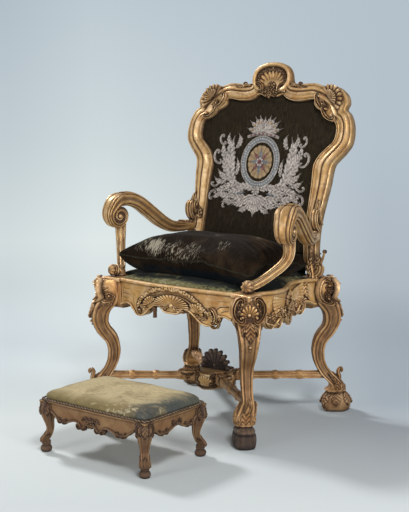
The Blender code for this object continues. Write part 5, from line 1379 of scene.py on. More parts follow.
def make_crest(relief):
    carving = Carving()
    places = np.linspace(crest_end - 0.01, 0, 190)
    left, tone = frame_rings(places, -1)
    carving.loft(np.concatenate([left, frame_rings(places[-2::-1], 1)[0]]), tone)
    # The cartouche: a rolled band round a hollow shell
    half = np.array([(52, 1212), (66, 1218), (77, 1233), (82, 1252), (78, 1274), (64, 1292), (44, 1303), (20, 1308.5),
                     (0, 1309.5)])
    path = drawn(np.vstack([half * (-1, 1), half[-2::-1]]), 130, 160)
    carving.ribbon(back_plane, path, 20, 19, dome, 11, 4, 12, tones=(0.3, 1))
    carving.ribbon(back_plane, path * [0.82, 0.93] + [0, 82], 4.2, 13, dome, 5, 3, tones=(0.0, 0.9))
    carving.fan(back_plane, (0, 1226), 71, 13, 112, 90, 15 * relief, 0.10, 2, stretch=1.02, scallop=0.08,
                tones=(0.0, 0.85), per_rib=7, rows=12)
    carving.rocaille(back_plane, (-64, 1240, -65, 1262, -48, 1287, 0, 1297, 48, 1287, 65, 1262, 64, 1240), 15, 13,
                     19, 6, flip=-1, tones=(0, 0.28))
    carving.rosette(back_plane, (0, 1228), 19, 8, 15, 0.5, 4, 0.3, 9, tones=(0.0, 0.5))
    carving.rosette(back_plane, (0, 1228), 11, 6, 21, 0.5, 4, 0.3, 9, tones=(0.0, 0.55))
    carving.bead(back_plane, (0, 1228), 6, 27, 4, tones=(0.0, 0.5))
    carving.leaves(back_plane, 12, 4, (0, 1214, 0, 1202, 0, 1190, 0, 1178, 22), base=8, lift=4)
    for sign in (-1, 1):
        side = mirrored(back_plane, sign)
        carving.scroll(side, (78, 1226, 40, 1206), 11, 15, 0.55, base=8)
        carving.bead(side, (131, 1237.5), 7.8, 12, 2, tones=(0.0, 0.15))
        carving.leaves(side, 6, 5, (94, 1226, 118, 1230, 142, 1222, 170, 1224, 13), base=13)
        carving.leaves(side, 12, 4, (8, 1216, 22, 1206, 34, 1204, 46, 1210, 20), base=8, lift=4, tones=(0.0, 0.8))
        carving.leaves(side, 10, 4, (4, 1208, 12, 1194, 21, 1190, 32, 1195, 17), base=8, lift=3, tones=(0.0, 0.8))
        # The shells at the corners, and the scrolls under them along the inner edge
        for size, lift, base, spread in ((54, 19, 5, 88), (33, 12, 16, 76)):
            carving.fan(side, (276, 1177), size, 9, spread, 44, lift * relief, 0.25, base, stretch=1.08, scallop=0.14,
                        tones=(0.05, 0.55))
        for ends in ((222, 1199, 262, 1146), (256, 1150, 309, 1106)):
            carving.scroll(side, ends, 12, 17, belly=0.08, tall=22, base=6, tones=(0.7, 1.0))
        carving.leaves(side, 10, 4, (250, 1172, 254, 1160, 262, 1152, 276, 1150, 16), base=16, lift=3, tones=(0.0, 0.6))
    return carving


def make_stile(side, relief):
    carving = Carving()
    rings, tone = frame_rings(np.linspace(crest_end, 29, 130), side)
    flat = rings[-1:].copy()
    flat[..., 2] = seat_height + 0.0003
    carving.loft(np.concatenate([rings, flat]), tone)
    half = mirrored(back_plane, side)

    def shoot(points, thick, ends, across=None):
        """A fleshy leaf that winds up at its end, beside the moulding or, where across says so, forward from it."""
        path = drawn(points, 48, 70) / 1000
        size = thick * np.interp(np.linspace(0, 1, 48), (0, 0.3, 0.7, 1), ends)
        if across is None:
            carving.sweep(half(path[:, 0], path[:, 1], -0.004), size, size * 1.5,
                          (0, -math.cos(recline), math.sin(recline)), (0.05, 0.9), 22, 6, 0.16 * thick)
        else:
            carving.sweep(half(across, path[:, 1], path[:, 0]), size, size * 1.7, (1, 0, 0), (0.0, 0.85), 26, 7,
                          0.18 * thick)

    # Foliage that stands forward from the joint of the arm
    usual = (0.8, 1.0, 0.8, 0.3)
    shoot((6, 694, 24, 704, 39, 722, 44, 744, 37, 760, 26, 758, 25, 748), 0.0095, (0.8, 1.0, 0.9, 0.4), 0.298)
    shoot((10, 730, 18, 752, 22, 774, 18, 798), 0.0075, usual, 0.296)
    shoot((4, 716, 22, 730, 30, 748, 26, 764), 0.0060, usual, 0.312)
    shoot((4, 716, 24, 726, 36, 742, 34, 758), 0.0060, usual, 0.282)
    shoot((6, 678, 18, 668, 24, 652, 18, 638), 0.0075, usual, 0.294)
    for base, row in ((12, (290, 690, 286, 726, 288, 762, 292, 806, 30)),
                      (8, (276, 690, 264, 708, 260, 730, 266, 752, 22)),
                      (10, (284, 672, 276, 654, 280, 636, 290, 622, 22)),
                      (12, (292, 530, 290, 558, 294, 586, 302, 612, 20))):
        carving.leaves(half, 10 * relief, 5, row, base=base, lift=4, tones=(0.0, 0.8))
    # Foliage at the outer side of the foot, with a small bud
    shoot((308, 528, 320, 534, 329, 546, 329, 560, 320, 566, 314, 560), 0.0110, (1.0, 1.0, 1.0, 0.8))
    shoot((312, 562, 319, 578, 319, 594, 311, 600), 0.0080, (0.75, 1.0, 0.85, 0.5))
    shoot((324, 566, 331, 586, 334, 602, 335, 616), 0.0042, (1.0, 0.8, 0.8, 0.8))
    carving.bead(half, (335, 620), 7.2, 8, -4, 8, tones=(0.0, 0.2))
    carving.leaves(half, 10 * relief, 4, (300, 532, 312, 546, 322, 562, 336, 572, 22),
                   (304, 560, 314, 578, 318, 598, 328, 612, 18), base=4, lift=4, tones=(0.0, 0.6))
    return carving


def arm_line(side):
    """Where an arm leaves its stile, and its way forward."""
    return back_plane(side * 0.300, 0.672, 0.0), np.array([side * 0.103 / 0.375, -1, 0.0])


def make_arm(side):
    """An arm with flutes that run along it and roll up with it, over a drum that fills the roll."""
    carving = Carving()
    start, forward = arm_line(side)
    ways = (unit(forward), upward, unit(np.array([side, 0.103 / 0.375, 0.0])))
    long = np.linalg.norm(forward) * 0.375
    centre = np.array([0.929 * long, 0.488 * 0.125])
    run = smooth_path([(u * long, v * 0.125, t * 0.05, 0.025) for u, v, t in arm_table], 90)
    run[:, 3] = 0.019 + 0.007 * ease(np.linspace(0, 1, 90) / 0.6)
    last_angle = math.degrees(math.atan2(run[-1, 1] - centre[1], run[-1, 0] - centre[0]))
    turn = np.linspace(0, 720, 150)
    outer, thick, half = through(roll_table, turn).T
    radius = outer - thick / 2
    radius = radius + (np.hypot(*(run[-1, :2] - centre)) - radius[0]) * (1 - ease(turn / 60))
    angle = np.radians(last_angle - turn)
    roll = np.stack([centre[0] + radius * np.cos(angle), centre[1] + radius * np.sin(angle), thick / 2,
                     half + 0.0035 * bump(turn, 22, 18)], axis=1)
    path = np.vstack([run[:-1], roll])
    travel = np.linspace(0, 1, len(path))[:, None]
    way = unit(np.gradient(path[:, :2], axis=0))
    theta = turns(96, 0.5)[None, :]
    rise, aside = soft_square(theta, 0.62)
    flutes = 2 * np.abs(np.cos(5 * theta)) ** 0.55 - 1
    share = ease((travel - 0.03) / 0.05) * (1 - 0.75 * ease((travel - 0.55) / 0.2))
    grow = 0.0030 * share * flutes
    # The two ears stand up from the outer edges where the roll begins
    place = np.concatenate([np.full(89, -40.0), turn])[:, None]
    ears = 0.013 * bump(place, 10, 22) * (np.abs(aside) ** 3 - 0.5) * np.maximum(rise, 0)
    lift = (path[:, 2:3] + grow) * rise + ears
    out = (path[:, 3:4] + grow) * aside - 0.010 * (1 - ease(travel / 0.22))
    rings = span(start, ways, (path[:, 0:1] - way[:, 1:2] * lift, path[:, 1:2] + way[:, 0:1] * lift, out))
    tone = 0.66 * (1 - share) + share * (0.03 + 0.64 * (0.5 + 0.5 * flutes) ** 1.1)
    # The first ring moves along the arm until it meets the moulding of the stile
    normal = np.array([0, -math.cos(recline), math.sin(recline)])
    gap = (back_plane(0.0, 0.672, frame_depth * 0.26 + 0.0003) - rings[0]) @ normal
    along = unit(rings[1] - rings[0])
    rings[0] = rings[0] + along * (gap / (along @ normal))[:, None]
    carving.loft(rings, tone)
    drum = np.array(((-0.0245, 0.034), (-0.0245, 0.038), (0.0245, 0.038), (0.0245, 0.034)))
    plan = [centre[index] + trim(turns(40)) * drum[:, 1:2] for index, trim in ((0, np.cos), (1, np.sin))]
    carving.loft(span(start, ways, (*plan, drum[:, 0:1])), 0.08)
    for sign in (-1, 1):
        def cheek(u, v, h, sign=sign):
            return span(start, ways, (centre[0] + u, centre[1] + v, sign * (0.0245 + h)))

        carving.bead(cheek, (0, 0), 9, 9, tones=(0.3, 1))

    def top(u, v, h):
        """The upper face: u along the arm, v across it."""
        row = through(np.column_stack([np.linspace(0, 1, len(run)), run]), u / long)
        return span(start, ways, (row[..., 0], row[..., 1] + row[..., 2] + h, v))

    carving.leaves(top, 8, 6, (4, -8, 30, -10, 60, -8, 95, -6, 34), base=-1, lift=4, tones=(0.0, 0.85))
    return carving


def make_support(side):
    """The scrolled support with ring collars and a pointed bud at its foot."""
    carving = Carving()
    start, forward = arm_line(side)
    top = start + forward * (0.375 * (0.929 - 0.38 * 0.043 / 0.375))
    foot = np.array([side * 0.296, -0.200, seat_height])
    run = (top - foot) * [1, 1, 0]
    path = [(*(foot + run * u + upward * v * 0.18), t * 0.0172) for u, v, t in support_table[:-1]]
    path += [(side * 0.3000, -0.2040, 0.5415, 0.0155), (side * 0.3075, -0.2150, 0.5425, 0.0155)]
    path = smooth_path(path, 110)
    theta = turns(80, 0.5)
    rise, aside = soft_square(theta, 0.55)
    way = unit(np.gradient(path[:, :3], axis=0))
    across = np.broadcast_to(unit(np.cross(upward, run)), way.shape)
    across = unit(across - way * np.sum(across * way, axis=1, keepdims=True))
    over = np.cross(way, across)
    off = ridge_distance(theta)
    reeds = np.cos(20 * theta)
    grow = path[:, 3:4] + 0.0014 * bump(off, 0, 0.14) - 0.0022 * bump(off, 0.30, 0.12) + 0.0013 * reeds * (off > 0.42)
    rings = path[:, None, :3] + across[:, None] * (grow * aside)[..., None] + over[:, None] * (grow * rise)[..., None]
    tone = 0.85 + 0.15 * bump(off, 0, 0.2) - 0.6 * bump(off, 0.3, 0.12) + 0.3 * (reeds - 1) * (off > 0.42)
    carving.loft(rings, np.clip(tone, 0, 1)[None, :])
    nose = unit(np.array([side * 0.35, -1.0, 0.12]))
    right = unit(np.cross(upward, nose))
    bud = np.array((
        (-5, 16, 0.3), (-1, 21.5, 0.8), (2, 22.5, 0.9), (5, 20.5, 0.5), (6.5, 16, 0.05), (9, 20.5, 0.7), (12, 20.5, 0.7),
        (14.5, 16.5, 0.05), (16.5, 19, 0.5), (22, 19.5, 0.7), (27, 16, 0.7), (31, 10, 0.5), (34, 3, 0.3)))
    turn = turns(40)
    size = bud[:, 1:2] / 1000 * (1 + 0.12 * np.cos(8 * turn) * (bud[:, 0:1] > 15))
    reaches = (bud[:, 0:1] / 1000, size * np.cos(turn), size * np.sin(turn))
    carving.loft(span(path[-1, :3], (nose, right, np.cross(nose, right)), reaches),
                 bud[:, 2:3] * (0.75 + 0.25 * np.cos(8 * turn)))
    block = np.array(((520.3, 16), (524, 18), (530, 15), (538, 16), (545, 13))) / 1000
    plan = (foot[0] + block[:, 1:2] * np.cos(turn), foot[1] + block[:, 1:2] * np.sin(turn))
    carving.loft(stacked(*plan, block[:, 0:1]), 0.35)
    return carving


def panel_outline(count=260):
    """The opening of the back frame, from the middle of its lower edge and round."""
    inner = frame_edges(np.linspace(0, 29, 600))[1]
    inner = inner[inner[:, 1] > panel_bottom][::-1]
    right = np.vstack([[0, panel_bottom], [inner[0, 0], panel_bottom], inner])
    return even(np.vstack([right, right[-2::-1] * [-1, 1]]), count + 1)[:-1]


def make_panel():
    carving = Carving()
    rows = np.array(((0.995, -23.5), (0.9965, -12), (0.99, -8.5), (0.975, -5.5), (0.95, -3.8), (0.9, -3), (0.75, -2.7),
                     (0.5, -2.6), (0.25, -2.6), (0.05, -2.6)))[..., None]
    x, z = (panel_outline() - panel_middle).T
    carving.loft(back_plane(x * rows[:, 0], panel_middle[1] + z * rows[:, 0], rows[:, 1] / 1000))
    return carving


def beads_along(name, path, spacing, radius, origin, finish, rough=(0.9, 1.1), seed=3):
    """Small domed beads set along a path by Geometry Nodes, as one plain mesh."""
    mesh = bpy.data.meshes.new(name)
    mesh.from_pydata((path + origin).tolist(), [(index, index + 1) for index in range(len(path) - 1)], [])
    piece = add_object(name, mesh)
    tree = bpy.data.node_groups.new(f"{name}_nodes", "GeometryNodeTree")
    face = tree.interface
    face.new_socket("Geometry", in_out="INPUT", socket_type="NodeSocketGeometry")
    gap = face.new_socket("Spacing", in_out="INPUT", socket_type="NodeSocketFloat")
    size = face.new_socket("Radius", in_out="INPUT", socket_type="NodeSocketFloat")
    face.new_socket("Geometry", in_out="OUTPUT", socket_type="NodeSocketGeometry")
    given, made = tree.nodes.new("NodeGroupInput"), tree.nodes.new("NodeGroupOutput")
    curve = wire(tree, "GeometryNodeMeshToCurve", {"Mesh": given.outputs["Geometry"]})
    dots = wire(tree, "GeometryNodeCurveToPoints", {"Curve": curve.outputs[0], "Length": given.outputs["Spacing"]},
                mode="LENGTH")
    ball = wire(tree, "GeometryNodeMeshIcoSphere", {"Radius": given.outputs["Radius"], "Subdivisions": 2})
    vary = wire(tree, "FunctionNodeRandomValue", {"Seed": seed}, data_type="FLOAT")
    vary.inputs[2].default_value, vary.inputs[3].default_value = rough
    copies = wire(tree, "GeometryNodeInstanceOnPoints", {"Points": dots.outputs["Points"], "Instance": ball.outputs[0],
                                                         "Scale": vary.outputs[1]})
    real = wire(tree, "GeometryNodeRealizeInstances", {"Geometry": copies.outputs[0]})
    smooth = wire(tree, "GeometryNodeSetShadeSmooth", {"Geometry": real.outputs[0]})
    painted = wire(tree, "GeometryNodeSetMaterial", {"Geometry": smooth.outputs[0], "Material": finish})
    tree.links.new(painted.outputs[0], made.inputs[0])
    modifier = piece.modifiers.new("beads", "NODES")
    modifier.node_group = tree
    modifier[gap.identifier] = spacing
    modifier[size.identifier] = radius
    bake(piece)
    set_tone(piece.data, 0.9)
    return piece


def make_embroidery():
    """A raised ornament of thread: an oval medallion, sprays at its sides, a palmette above and leaves below."""
    parts = {key: Carving() for key in ("silver", "ochre", "blue", "crimson")}
    silver, ochre, blue, crimson = parts.values()
    base, shift, centre = -2.8, -0.012, np.array([0, 935])
    cloth = mirrored(back_plane, 1, shift)

    def oval(width, height):
        turn = np.linspace(0, 2 * np.pi, 90)
        return centre + np.stack([width * np.sin(turn), height * np.cos(turn)], axis=1)

    blue.ribbon(cloth, oval(79, 89), 20, 3, dome, 7, base)
    silver.ribbon(cloth, oval(89, 99), 6, 4.2, twisted(46), 7, base)
    silver.ribbon(cloth, oval(68, 78), 6, 4.2, twisted(40), 7, base)
    ochre.rosette(cloth, centre, 64, 16, 2.4, 0.8, base, 0.04, 6, stretch=0.88)
    for index in range(8):
        way = np.array([math.sin(math.radians(45 * index)) * 0.88, math.cos(math.radians(45 * index))])
        row = (centre + np.outer((10, 24, 38, 54), way)).ravel()
        (crimson if index % 2 else blue).leaves(cloth, 4.5, 3, (*row, 20), base=base)
    silver.rosette(cloth, centre, 17, 7, 6, 0.6, base)
    crimson.rosette(cloth, centre, 9, 7, 7.5, 0.6, base)
    for sign in (-1, 1):
        half = mirrored(back_plane, sign, shift)
        # Broad plumes at the sides, and the foliage below
        silver.leaves(
            half, 4.8, 6, (112, 850, 132, 885, 138, 925, 128, 972, 50), (126, 905, 144, 945, 148, 985, 136, 1034, 52),
            (140, 880, 162, 905, 172, 935, 168, 966, 36), (152, 930, 174, 952, 186, 980, 184, 1010, 34),
            (138, 985, 156, 1002, 166, 1024, 160, 1046, 26), (122, 985, 110, 1004, 108, 1024, 118, 1044, 24),
            (130, 862, 156, 868, 180, 880, 200, 902, 30), (106, 880, 102, 904, 104, 928, 112, 950, 20),
            (150, 852, 174, 850, 196, 856, 214, 872, 24), base=base, lift=1.5, tones=(0.05, 1.0))
        silver.leaves(
            half, 4.8, 5, (20, 826, 46, 838, 74, 838, 104, 850, 36), (80, 836, 110, 846, 138, 840, 164, 850, 36),
            (60, 816, 92, 822, 122, 816, 152, 824, 36), (128, 822, 156, 826, 180, 818, 206, 824, 34),
            (46, 798, 76, 794, 106, 798, 134, 788, 40), (112, 800, 140, 796, 166, 800, 190, 790, 34),
            (162, 806, 182, 800, 198, 790, 212, 794, 24), (44, 780, 66, 770, 88, 770, 110, 760, 34),
            (96, 778, 122, 774, 144, 778, 164, 768, 26), (30, 764, 48, 750, 62, 746, 78, 738, 26), base=base, lift=1.5,
            tones=(0.05, 1.0))
        for *ends, width, first, last in (
            (190, 925, 212, 975, 10, 0.6, 0.7), (178, 1000, 196, 1036, 9, 0.6, 0.6), (186, 860, 222, 842, 9, 0.6, 0.6),
            (196, 812, 216, 780, 9, -0.6, -0.6), (118, 766, 150, 752, 8, -0.6, -0.5),
        ):
            silver.scroll(half, ends, width, 5, first, last, base=base)
        blue.leaves(half, 6.2, 3, (50, 815, 75, 812, 95, 806, 120, 810, 10), base=base)
        # The palmette above
        for turn, size, width in ((16, 64, 26), (36, 68, 28), (58, 76, 28), (82, 82, 24)):
            way = np.array([math.sin(math.radians(turn)), math.cos(math.radians(turn))])
            start, side_way = np.array([0, 1040]), np.array([10, 16])
            row = [start + way * 12, start + way * size * 0.5 + side_way * 0.5,
                   start + way * size * 0.85 + side_way * 0.8, start + way * size * 0.98 + side_way]
            silver.leaves(half, 5.2, 5, (*np.ravel(row), width), base=base, lift=1, tones=(0.05, 1))
            ochre.bead(half, start + way * size * 0.62 + side_way * 0.6, 5, 5.5, base + 3)
    silver.leaves(cloth, 5.6, 5, (0, 1048, 0, 1070, 0, 1092, 0, 1112, 26), base=base, lift=1, tones=(0.05, 1))
    arc = (-74, 1030, -40, 1040, 0, 1043, 40, 1040, 74, 1030)
    silver.ribbon(cloth, drawn(arc, 60), 13, 5.8, reeded, 9, base)
    for point in drawn(arc, 9)[1:-1]:
        crimson.bead(cloth, point, 4.2, 5, base + 4)
    silver.fan(cloth, (0, 812), 72, 15, 80, -90, 5.8, 0.4, base, stretch=0.78, per_rib=6)
    silver.fan(cloth, (0, 806), 38, 9, 95, -90, 8.5, 0.4, base, stretch=0.9, scallop=0.16, per_rib=6)
    silver.leaves(cloth, 5.5, 5, (0, 780, 0, 760, 0, 742, 0, 722, 30), base=base, lift=1.5)
    silver.rosette(cloth, (0, 824), 18, 8, 7.5, 0.6, base)
    ring = oval(79, 89) / 1000
    return parts, cloth(ring[:, 0], ring[:, 1], base / 1000 + 0.0032)


def make_cushion_piece():
    """The loose cushion: pointed corners, a full crown, and a flat underside."""
    columns, rows = 64, 52
    half_width, half_depth, middle = 0.297, (0.158 + 0.208) / 2, (0.158 - 0.208) / 2
    base = 0.5351
    seam = 0.0006 + 0.052
    tips = {(-1, -1): 1.0, (1, -1): -0.35, (-1, 1): 0.3, (1, 1): -0.3}
    u = np.sin(np.pi / 2 * np.linspace(-1, 1, columns + 1))[:, None]
    v = np.sin(np.pi / 2 * np.linspace(-1, 1, rows + 1))[None, :]
    full = np.sqrt(np.maximum((1 - np.abs(u) ** 4) * (1 - np.abs(v) ** 4), 0))
    tip = 0
    for (cu, cv), share in tips.items():
        tip = tip + 0.02 * share * np.maximum(u * cu, 0) ** 3 * np.maximum(v * cv, 0) ** 3
    upper = seam + tip + 0.088 * full
    lower = np.maximum(seam + tip - (seam + 0.052 * 0.33) * full**0.6, 0.0010)
    x, y = u * (half_width - 0.035 * (1 - v * v)) * 0.985, middle + v * (half_depth - 0.035 * (1 - u * u)) * 0.985
    bm = bmesh.new()
    shared = {}

    def vert(i, j, top):
        edge = i in (0, columns) or j in (0, rows)
        key = (i, j) if edge else (i, j, top)
        if key not in shared:
            shared[key] = bm.verts.new((x[i, j], y[i, j], base + (upper if top else lower)[i, j]))
        return shared[key]

    for i in range(columns):
        for j in range(rows):
            for top in (False, True):
                corners = [(i, j), (i + 1, j), (i + 1, j + 1), (i, j + 1)]
                bm.faces.new([vert(*corner, top) for corner in (corners if top else corners[::-1])])
    bmesh.ops.translate(bm, verts=bm.verts, vec=chair_origin)
    bmesh.ops.recalc_face_normals(bm, faces=bm.faces)
    mesh = bpy.data.meshes.new("cushion_pad")
    bm.to_mesh(mesh)
    bm.free()
    piece = add_object("cushion_pad", mesh)
    stuff(piece, 0.0055, 3.0, 0.012, -0.06)
    points = points_of(piece.data) - chair_origin
    px, py, top = points[:, 0], points[:, 1] - middle, ease((points[:, 2] - base - 0.05) / 0.02)
    # Creases that run in from the corners and the front edge, and a hollow where someone sat
    reach = np.hypot(px / 0.29, py / 0.18)
    spoke = np.arctan2(py / 0.18, px / 0.29)
    crease = np.cos(23 * spoke + 1.3 * np.sin(5 * spoke)) * bump(reach, 0.86, 0.22)
    crease += 0.7 * np.cos(41 * spoke + 2.0) * bump(reach, 0.95, 0.12)
    wide = 0.5 * np.sin(31 * px + 9 * np.sin(11 * py)) * np.sin(27 * py + 1.7)
    points[:, 2] += (0.0018 * crease + 0.0016 * wide - 0.006 * bump(reach, 0, 0.5)) * top
    points[:, 2] = np.maximum(points[:, 2], base + 0.0008)
    move_points(piece.data, points + chair_origin)
    with_modifier(piece, "SUBSURF", levels=1, render_levels=1)
    piece.data.shade_smooth()
    # The outermost line of the cushion, as a path for the braid
    points = points_of(piece.data) - chair_origin
    flat = (points[:, :2] - (0, middle)) / (half_width, half_depth)
    slot = ((np.arctan2(flat[:, 1], flat[:, 0]) + np.pi) / (2 * np.pi) * 200).astype(int) % 200
    far = np.hypot(flat[:, 0], flat[:, 1])
    edge = np.array([points[slot == k][np.argmax(far[slot == k])] for k in range(200)])
    edge[:, 2] = 0.25 * np.roll(edge[:, 2], 1) + 0.5 * edge[:, 2] + 0.25 * np.roll(edge[:, 2], -1)
    edge[:, :2] = (0, middle) + (edge[:, :2] - (0, middle)) * 1.004
    return piece, np.vstack([edge, edge[:1]])


def soft_pad(node, name, voxel, pressure, cap, roughen, lip=None):
    """A fixed pad. lip gives a height above which it spreads over its rails, how far, and its half sizes."""
    piece = merged_copy(node, name)
    stuff(piece, voxel, pressure, cap, 0.0)
    with_modifier(piece, "SUBSURF", levels=1, render_levels=1)
    points = points_of(piece.data).astype(float)
    low, high = (np.array(corner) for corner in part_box(node))
    if lip:
        level, reach, *half = lip
        middle = (low[:2] + high[:2]) / 2
        flat = points[:, :2] - middle
        scaled = flat / half
        angle, far = np.arctan2(scaled[:, 1], scaled[:, 0]), np.hypot(scaled[:, 0], scaled[:, 1])
        slot = np.round((angle + np.pi) / (2 * np.pi) * 144).astype(int) % 144
        edge = np.zeros(144)
        np.maximum.at(edge, slot, np.where(points[:, 2] > level - 0.002, far, 0))
        for _ in range(2):
            edge = (np.roll(edge, 1) + 2 * edge + np.roll(edge, -1)) / 4
        reached = np.interp(angle, (np.arange(-1, 146) / 144) * 2 * np.pi - np.pi, edge[np.arange(-1, 146) % 144])
        wanted = 1 / (np.abs(np.cos(angle)) ** 11 + np.abs(np.sin(angle)) ** 11) ** (1 / 11)
        grow = (wanted / np.maximum(reached, 0.3) - 1) * ease((far / np.maximum(reached, 0.3) - 0.4) / 0.6)
        points[:, :2] = middle + flat * (1 + grow * ease((points[:, 2] - level + reach) / reach))[:, None]
        low[:2], high[:2] = middle - half, middle + half
    top = ease((points[:, 2] - low[2]) / max(high[2] - low[2], 1e-6) * 1.4 - 0.2)
    x, y = points[:, 0], points[:, 1]
    points[:, 2] += roughen * top * (np.sin(37 * x + 3 * np.sin(19 * y)) * np.sin(29 * y + 1.1) - 0.4)
    points = np.clip(points, low + (0, 0, 0.0002), high + (0, 0, 0.006))
    move_points(piece.data, points)
    piece.data.shade_smooth()
    return piece


def stool_apron(axis, sign):
    half = {"x": 0.232 - 0.044 - 0.0003, "y": 0.152 - 0.044 - 0.0003}[axis]
    line = {"x": 0.152, "y": 0.232}[axis]
    table = stool_long_drops if axis == "x" else stool_short_drops
    return Apron(axis, sign, (-half, half), lambda u: line + 0.006 * (1 - (u / half) ** 2), 0.182, 0.068,
                 table_drop(table, -half, half, True), 0.003)


def make_stool_rail(axis, sign, relief):
    carving = Carving()
    apron = stool_apron(axis, sign)
    half = apron.reach[1]
    long = axis == "x"
    apron.body(carving, 0.022, 0.010, 0.014, 0.007, 90 if long else 60, 0.0015)
    apron.edge(carving, 8.5, 5.8, 3.4, 130, (0.08, 0.52))
    for share in (-0.70, -0.22, 0.22, 0.70) if long else (-0.60, 0.0, 0.60):
        low = 1000 * float(apron.bottom(np.array(share * half)))
        for way in (-1, 1):
            carving.scroll(mirrored(apron, way, share * half), (17, low + 13, 3, low + 2), 7.5, 8, -0.55, tall=10,
                           tones=(0.05, 0.55))
        carving.bead(mirrored(apron, 1, share * half), (0, low + 4), 5.5, 9, tones=(0.0, 0.15))
    if long:
        carving.rosette(apron, (0, 140), 19, 7, 8, 0.5, 0, 0.3, 9, tones=(0, 0.35))
        carving.rosette(apron, (0, 140), 10, 6, 12, 0.5, 0, 0.3, 9, tones=(0.1, 0.7))
        for way in (-1, 1):
            carving.leaves(mirrored(apron, way), 6 * relief, 4, (12, 148, 22, 153, 32, 150, 40, 142, 14),
                           tones=(0.05, 0.6))
    return carving


def make_rope(half_x, half_y, height, radius, twists):
    """A twisted cord laid round a rectangle whose sides bow out a little."""
    cosine, sine = soft_square(turns(900), 0.09)
    plan = np.stack([half_x * cosine, half_y * sine], axis=1)
    plan = even(np.vstack([plan, plan[:1]]), 901)[:-1]
    way = unit(np.roll(plan, -1, axis=0) - np.roll(plan, 1, axis=0))
    around = turns(12)[None, :]
    twist = np.cos(2 * around + twists * turns(900)[:, None])
    size = radius * (0.90 + 0.12 * twist)
    out = size * np.cos(around)
    carving = Carving()
    across, along = plan[:, 0:1] + way[:, 1:2] * out, plan[:, 1:2] - way[:, 0:1] * out
    carving.loft(stacked(across, along, height + size * np.sin(around)), ease(0.5 + 0.75 * twist), looped=True)
    return carving


def make_stool_leg(side, end):
    leg = Leg((side * 0.232, end * 0.152), side, end, 0.182, 0.05, 0.027, stool_leg_table)
    carving = Carving()
    leg.body(carving, 0.034, 0.178, 80, 44, 0.0010, 0.0013, ((0.040, 0.012, 0.5), (0.168, 0.025, 0.55)))
    leg.block_on(carving, 0.044, 0.006, (
        (131, -10, 0.1), (138, -4, 0.2), (150, -1.5, 0.35), (168, -1, 0.35), (172, -2, 0.1), (175, 1, 0.6),
        (179, 1.5, 0.7), (181.7, -1, 0.3)))
    # The dark ball foot with its collars
    turn = turns(44)
    foot = np.array((
        (0, 12, 0.1), (1.2, 15, 0.2), (6, 18.2, 0.3), (12, 19.2, 0.35), (18, 18, 0.3), (22.5, 15, 0.15), (24.5, 12.8, 0.0),
        (26, 14, 0.2), (28.5, 15.8, 0.5), (31, 14.6, 0.3), (32.5, 13.2, 0.0), (34, 14.5, 0.3), (36.5, 15.8, 0.55),
        (38.5, 14.8, 0.3), (39.5, 12, 0.1)))
    height = foot[:, 0:1] / 1000
    size = foot[:, 1:2] / 1000 * (1 + 0.05 * np.cos(8 * turn) * bump(height, 0.012, 0.010))
    middle = leg.read(np.minimum(height, 0.026))[0]
    carving.loft(leg.point(middle + size * np.cos(turn), 0.94 * size * np.sin(turn), height), foot[:, 2])
    for place in (leg.face, leg.flank(1), leg.flank(-1)):
        for shift, top in ((-9, 64), (9, 64), (0, 70)):
            carving.leaves(place, 3.5, 1, (shift, 36, shift * 1.1, 45, shift, 55, shift * 0.6, top, 11), lift=0.5,
                           tones=(0.15, 0.8))
        carving.leaves(place, 5.5, 3, (0, 174, 0, 160, 0, 146, 0, 128, 26), lift=1, tones=(0.05, 0.6))
    for sign in (-1, 1):
        carving.scroll(mirrored(leg.face, sign), (16, 176, 14, 140), 8, 7, -0.55, tall=14, tones=(0.0, 0.5))
    return carving


def colour_nodes():
    """Gives each solid that stays in view its material."""
    for name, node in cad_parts.items():
        if node.hide_render:
            continue
        if "webbing" in name:
            finish = "webbing"
        elif name == "back_cover":
            finish = "lining"
        elif "rail" in name and name != "lower_back_rail" and "stool" not in name:
            finish = "gilding"
        else:
            finish = "timber"
        node.data.materials.clear()
        node.data.materials.append(get_finish(finish))


# Settings

class ArmchairSizes(bpy.types.PropertyGroup):
    """Sizes of the looks that a user may change."""

    relief: bpy.props.FloatProperty(
        name="Relief", description="How high the carving stands, as a multiple", default=1.0, min=0.5, max=1.4,
        subtype="FACTOR",
    )
    lens: bpy.props.FloatProperty(
        name="Lens", description="Focal length of the camera", default=82.12, min=20, max=200,
        unit="CAMERA", subtype="DISTANCE_CAMERA",
    )
    floor_reach: bpy.props.FloatProperty(
        name="Floor reach", description="Half the width of the floor", default=14.0, min=2, max=40, unit="LENGTH",
    )
    bead_radius: bpy.props.FloatProperty(
        name="Bead radius", description="Radius of the beads on the medallion", default=0.0034, min=0.001, max=0.006,
        unit="LENGTH",
    )
    bead_spacing: bpy.props.FloatProperty(
        name="Bead spacing", description="Distance from bead to bead", default=0.0105, min=0.004, max=0.03,
        unit="LENGTH",
    )


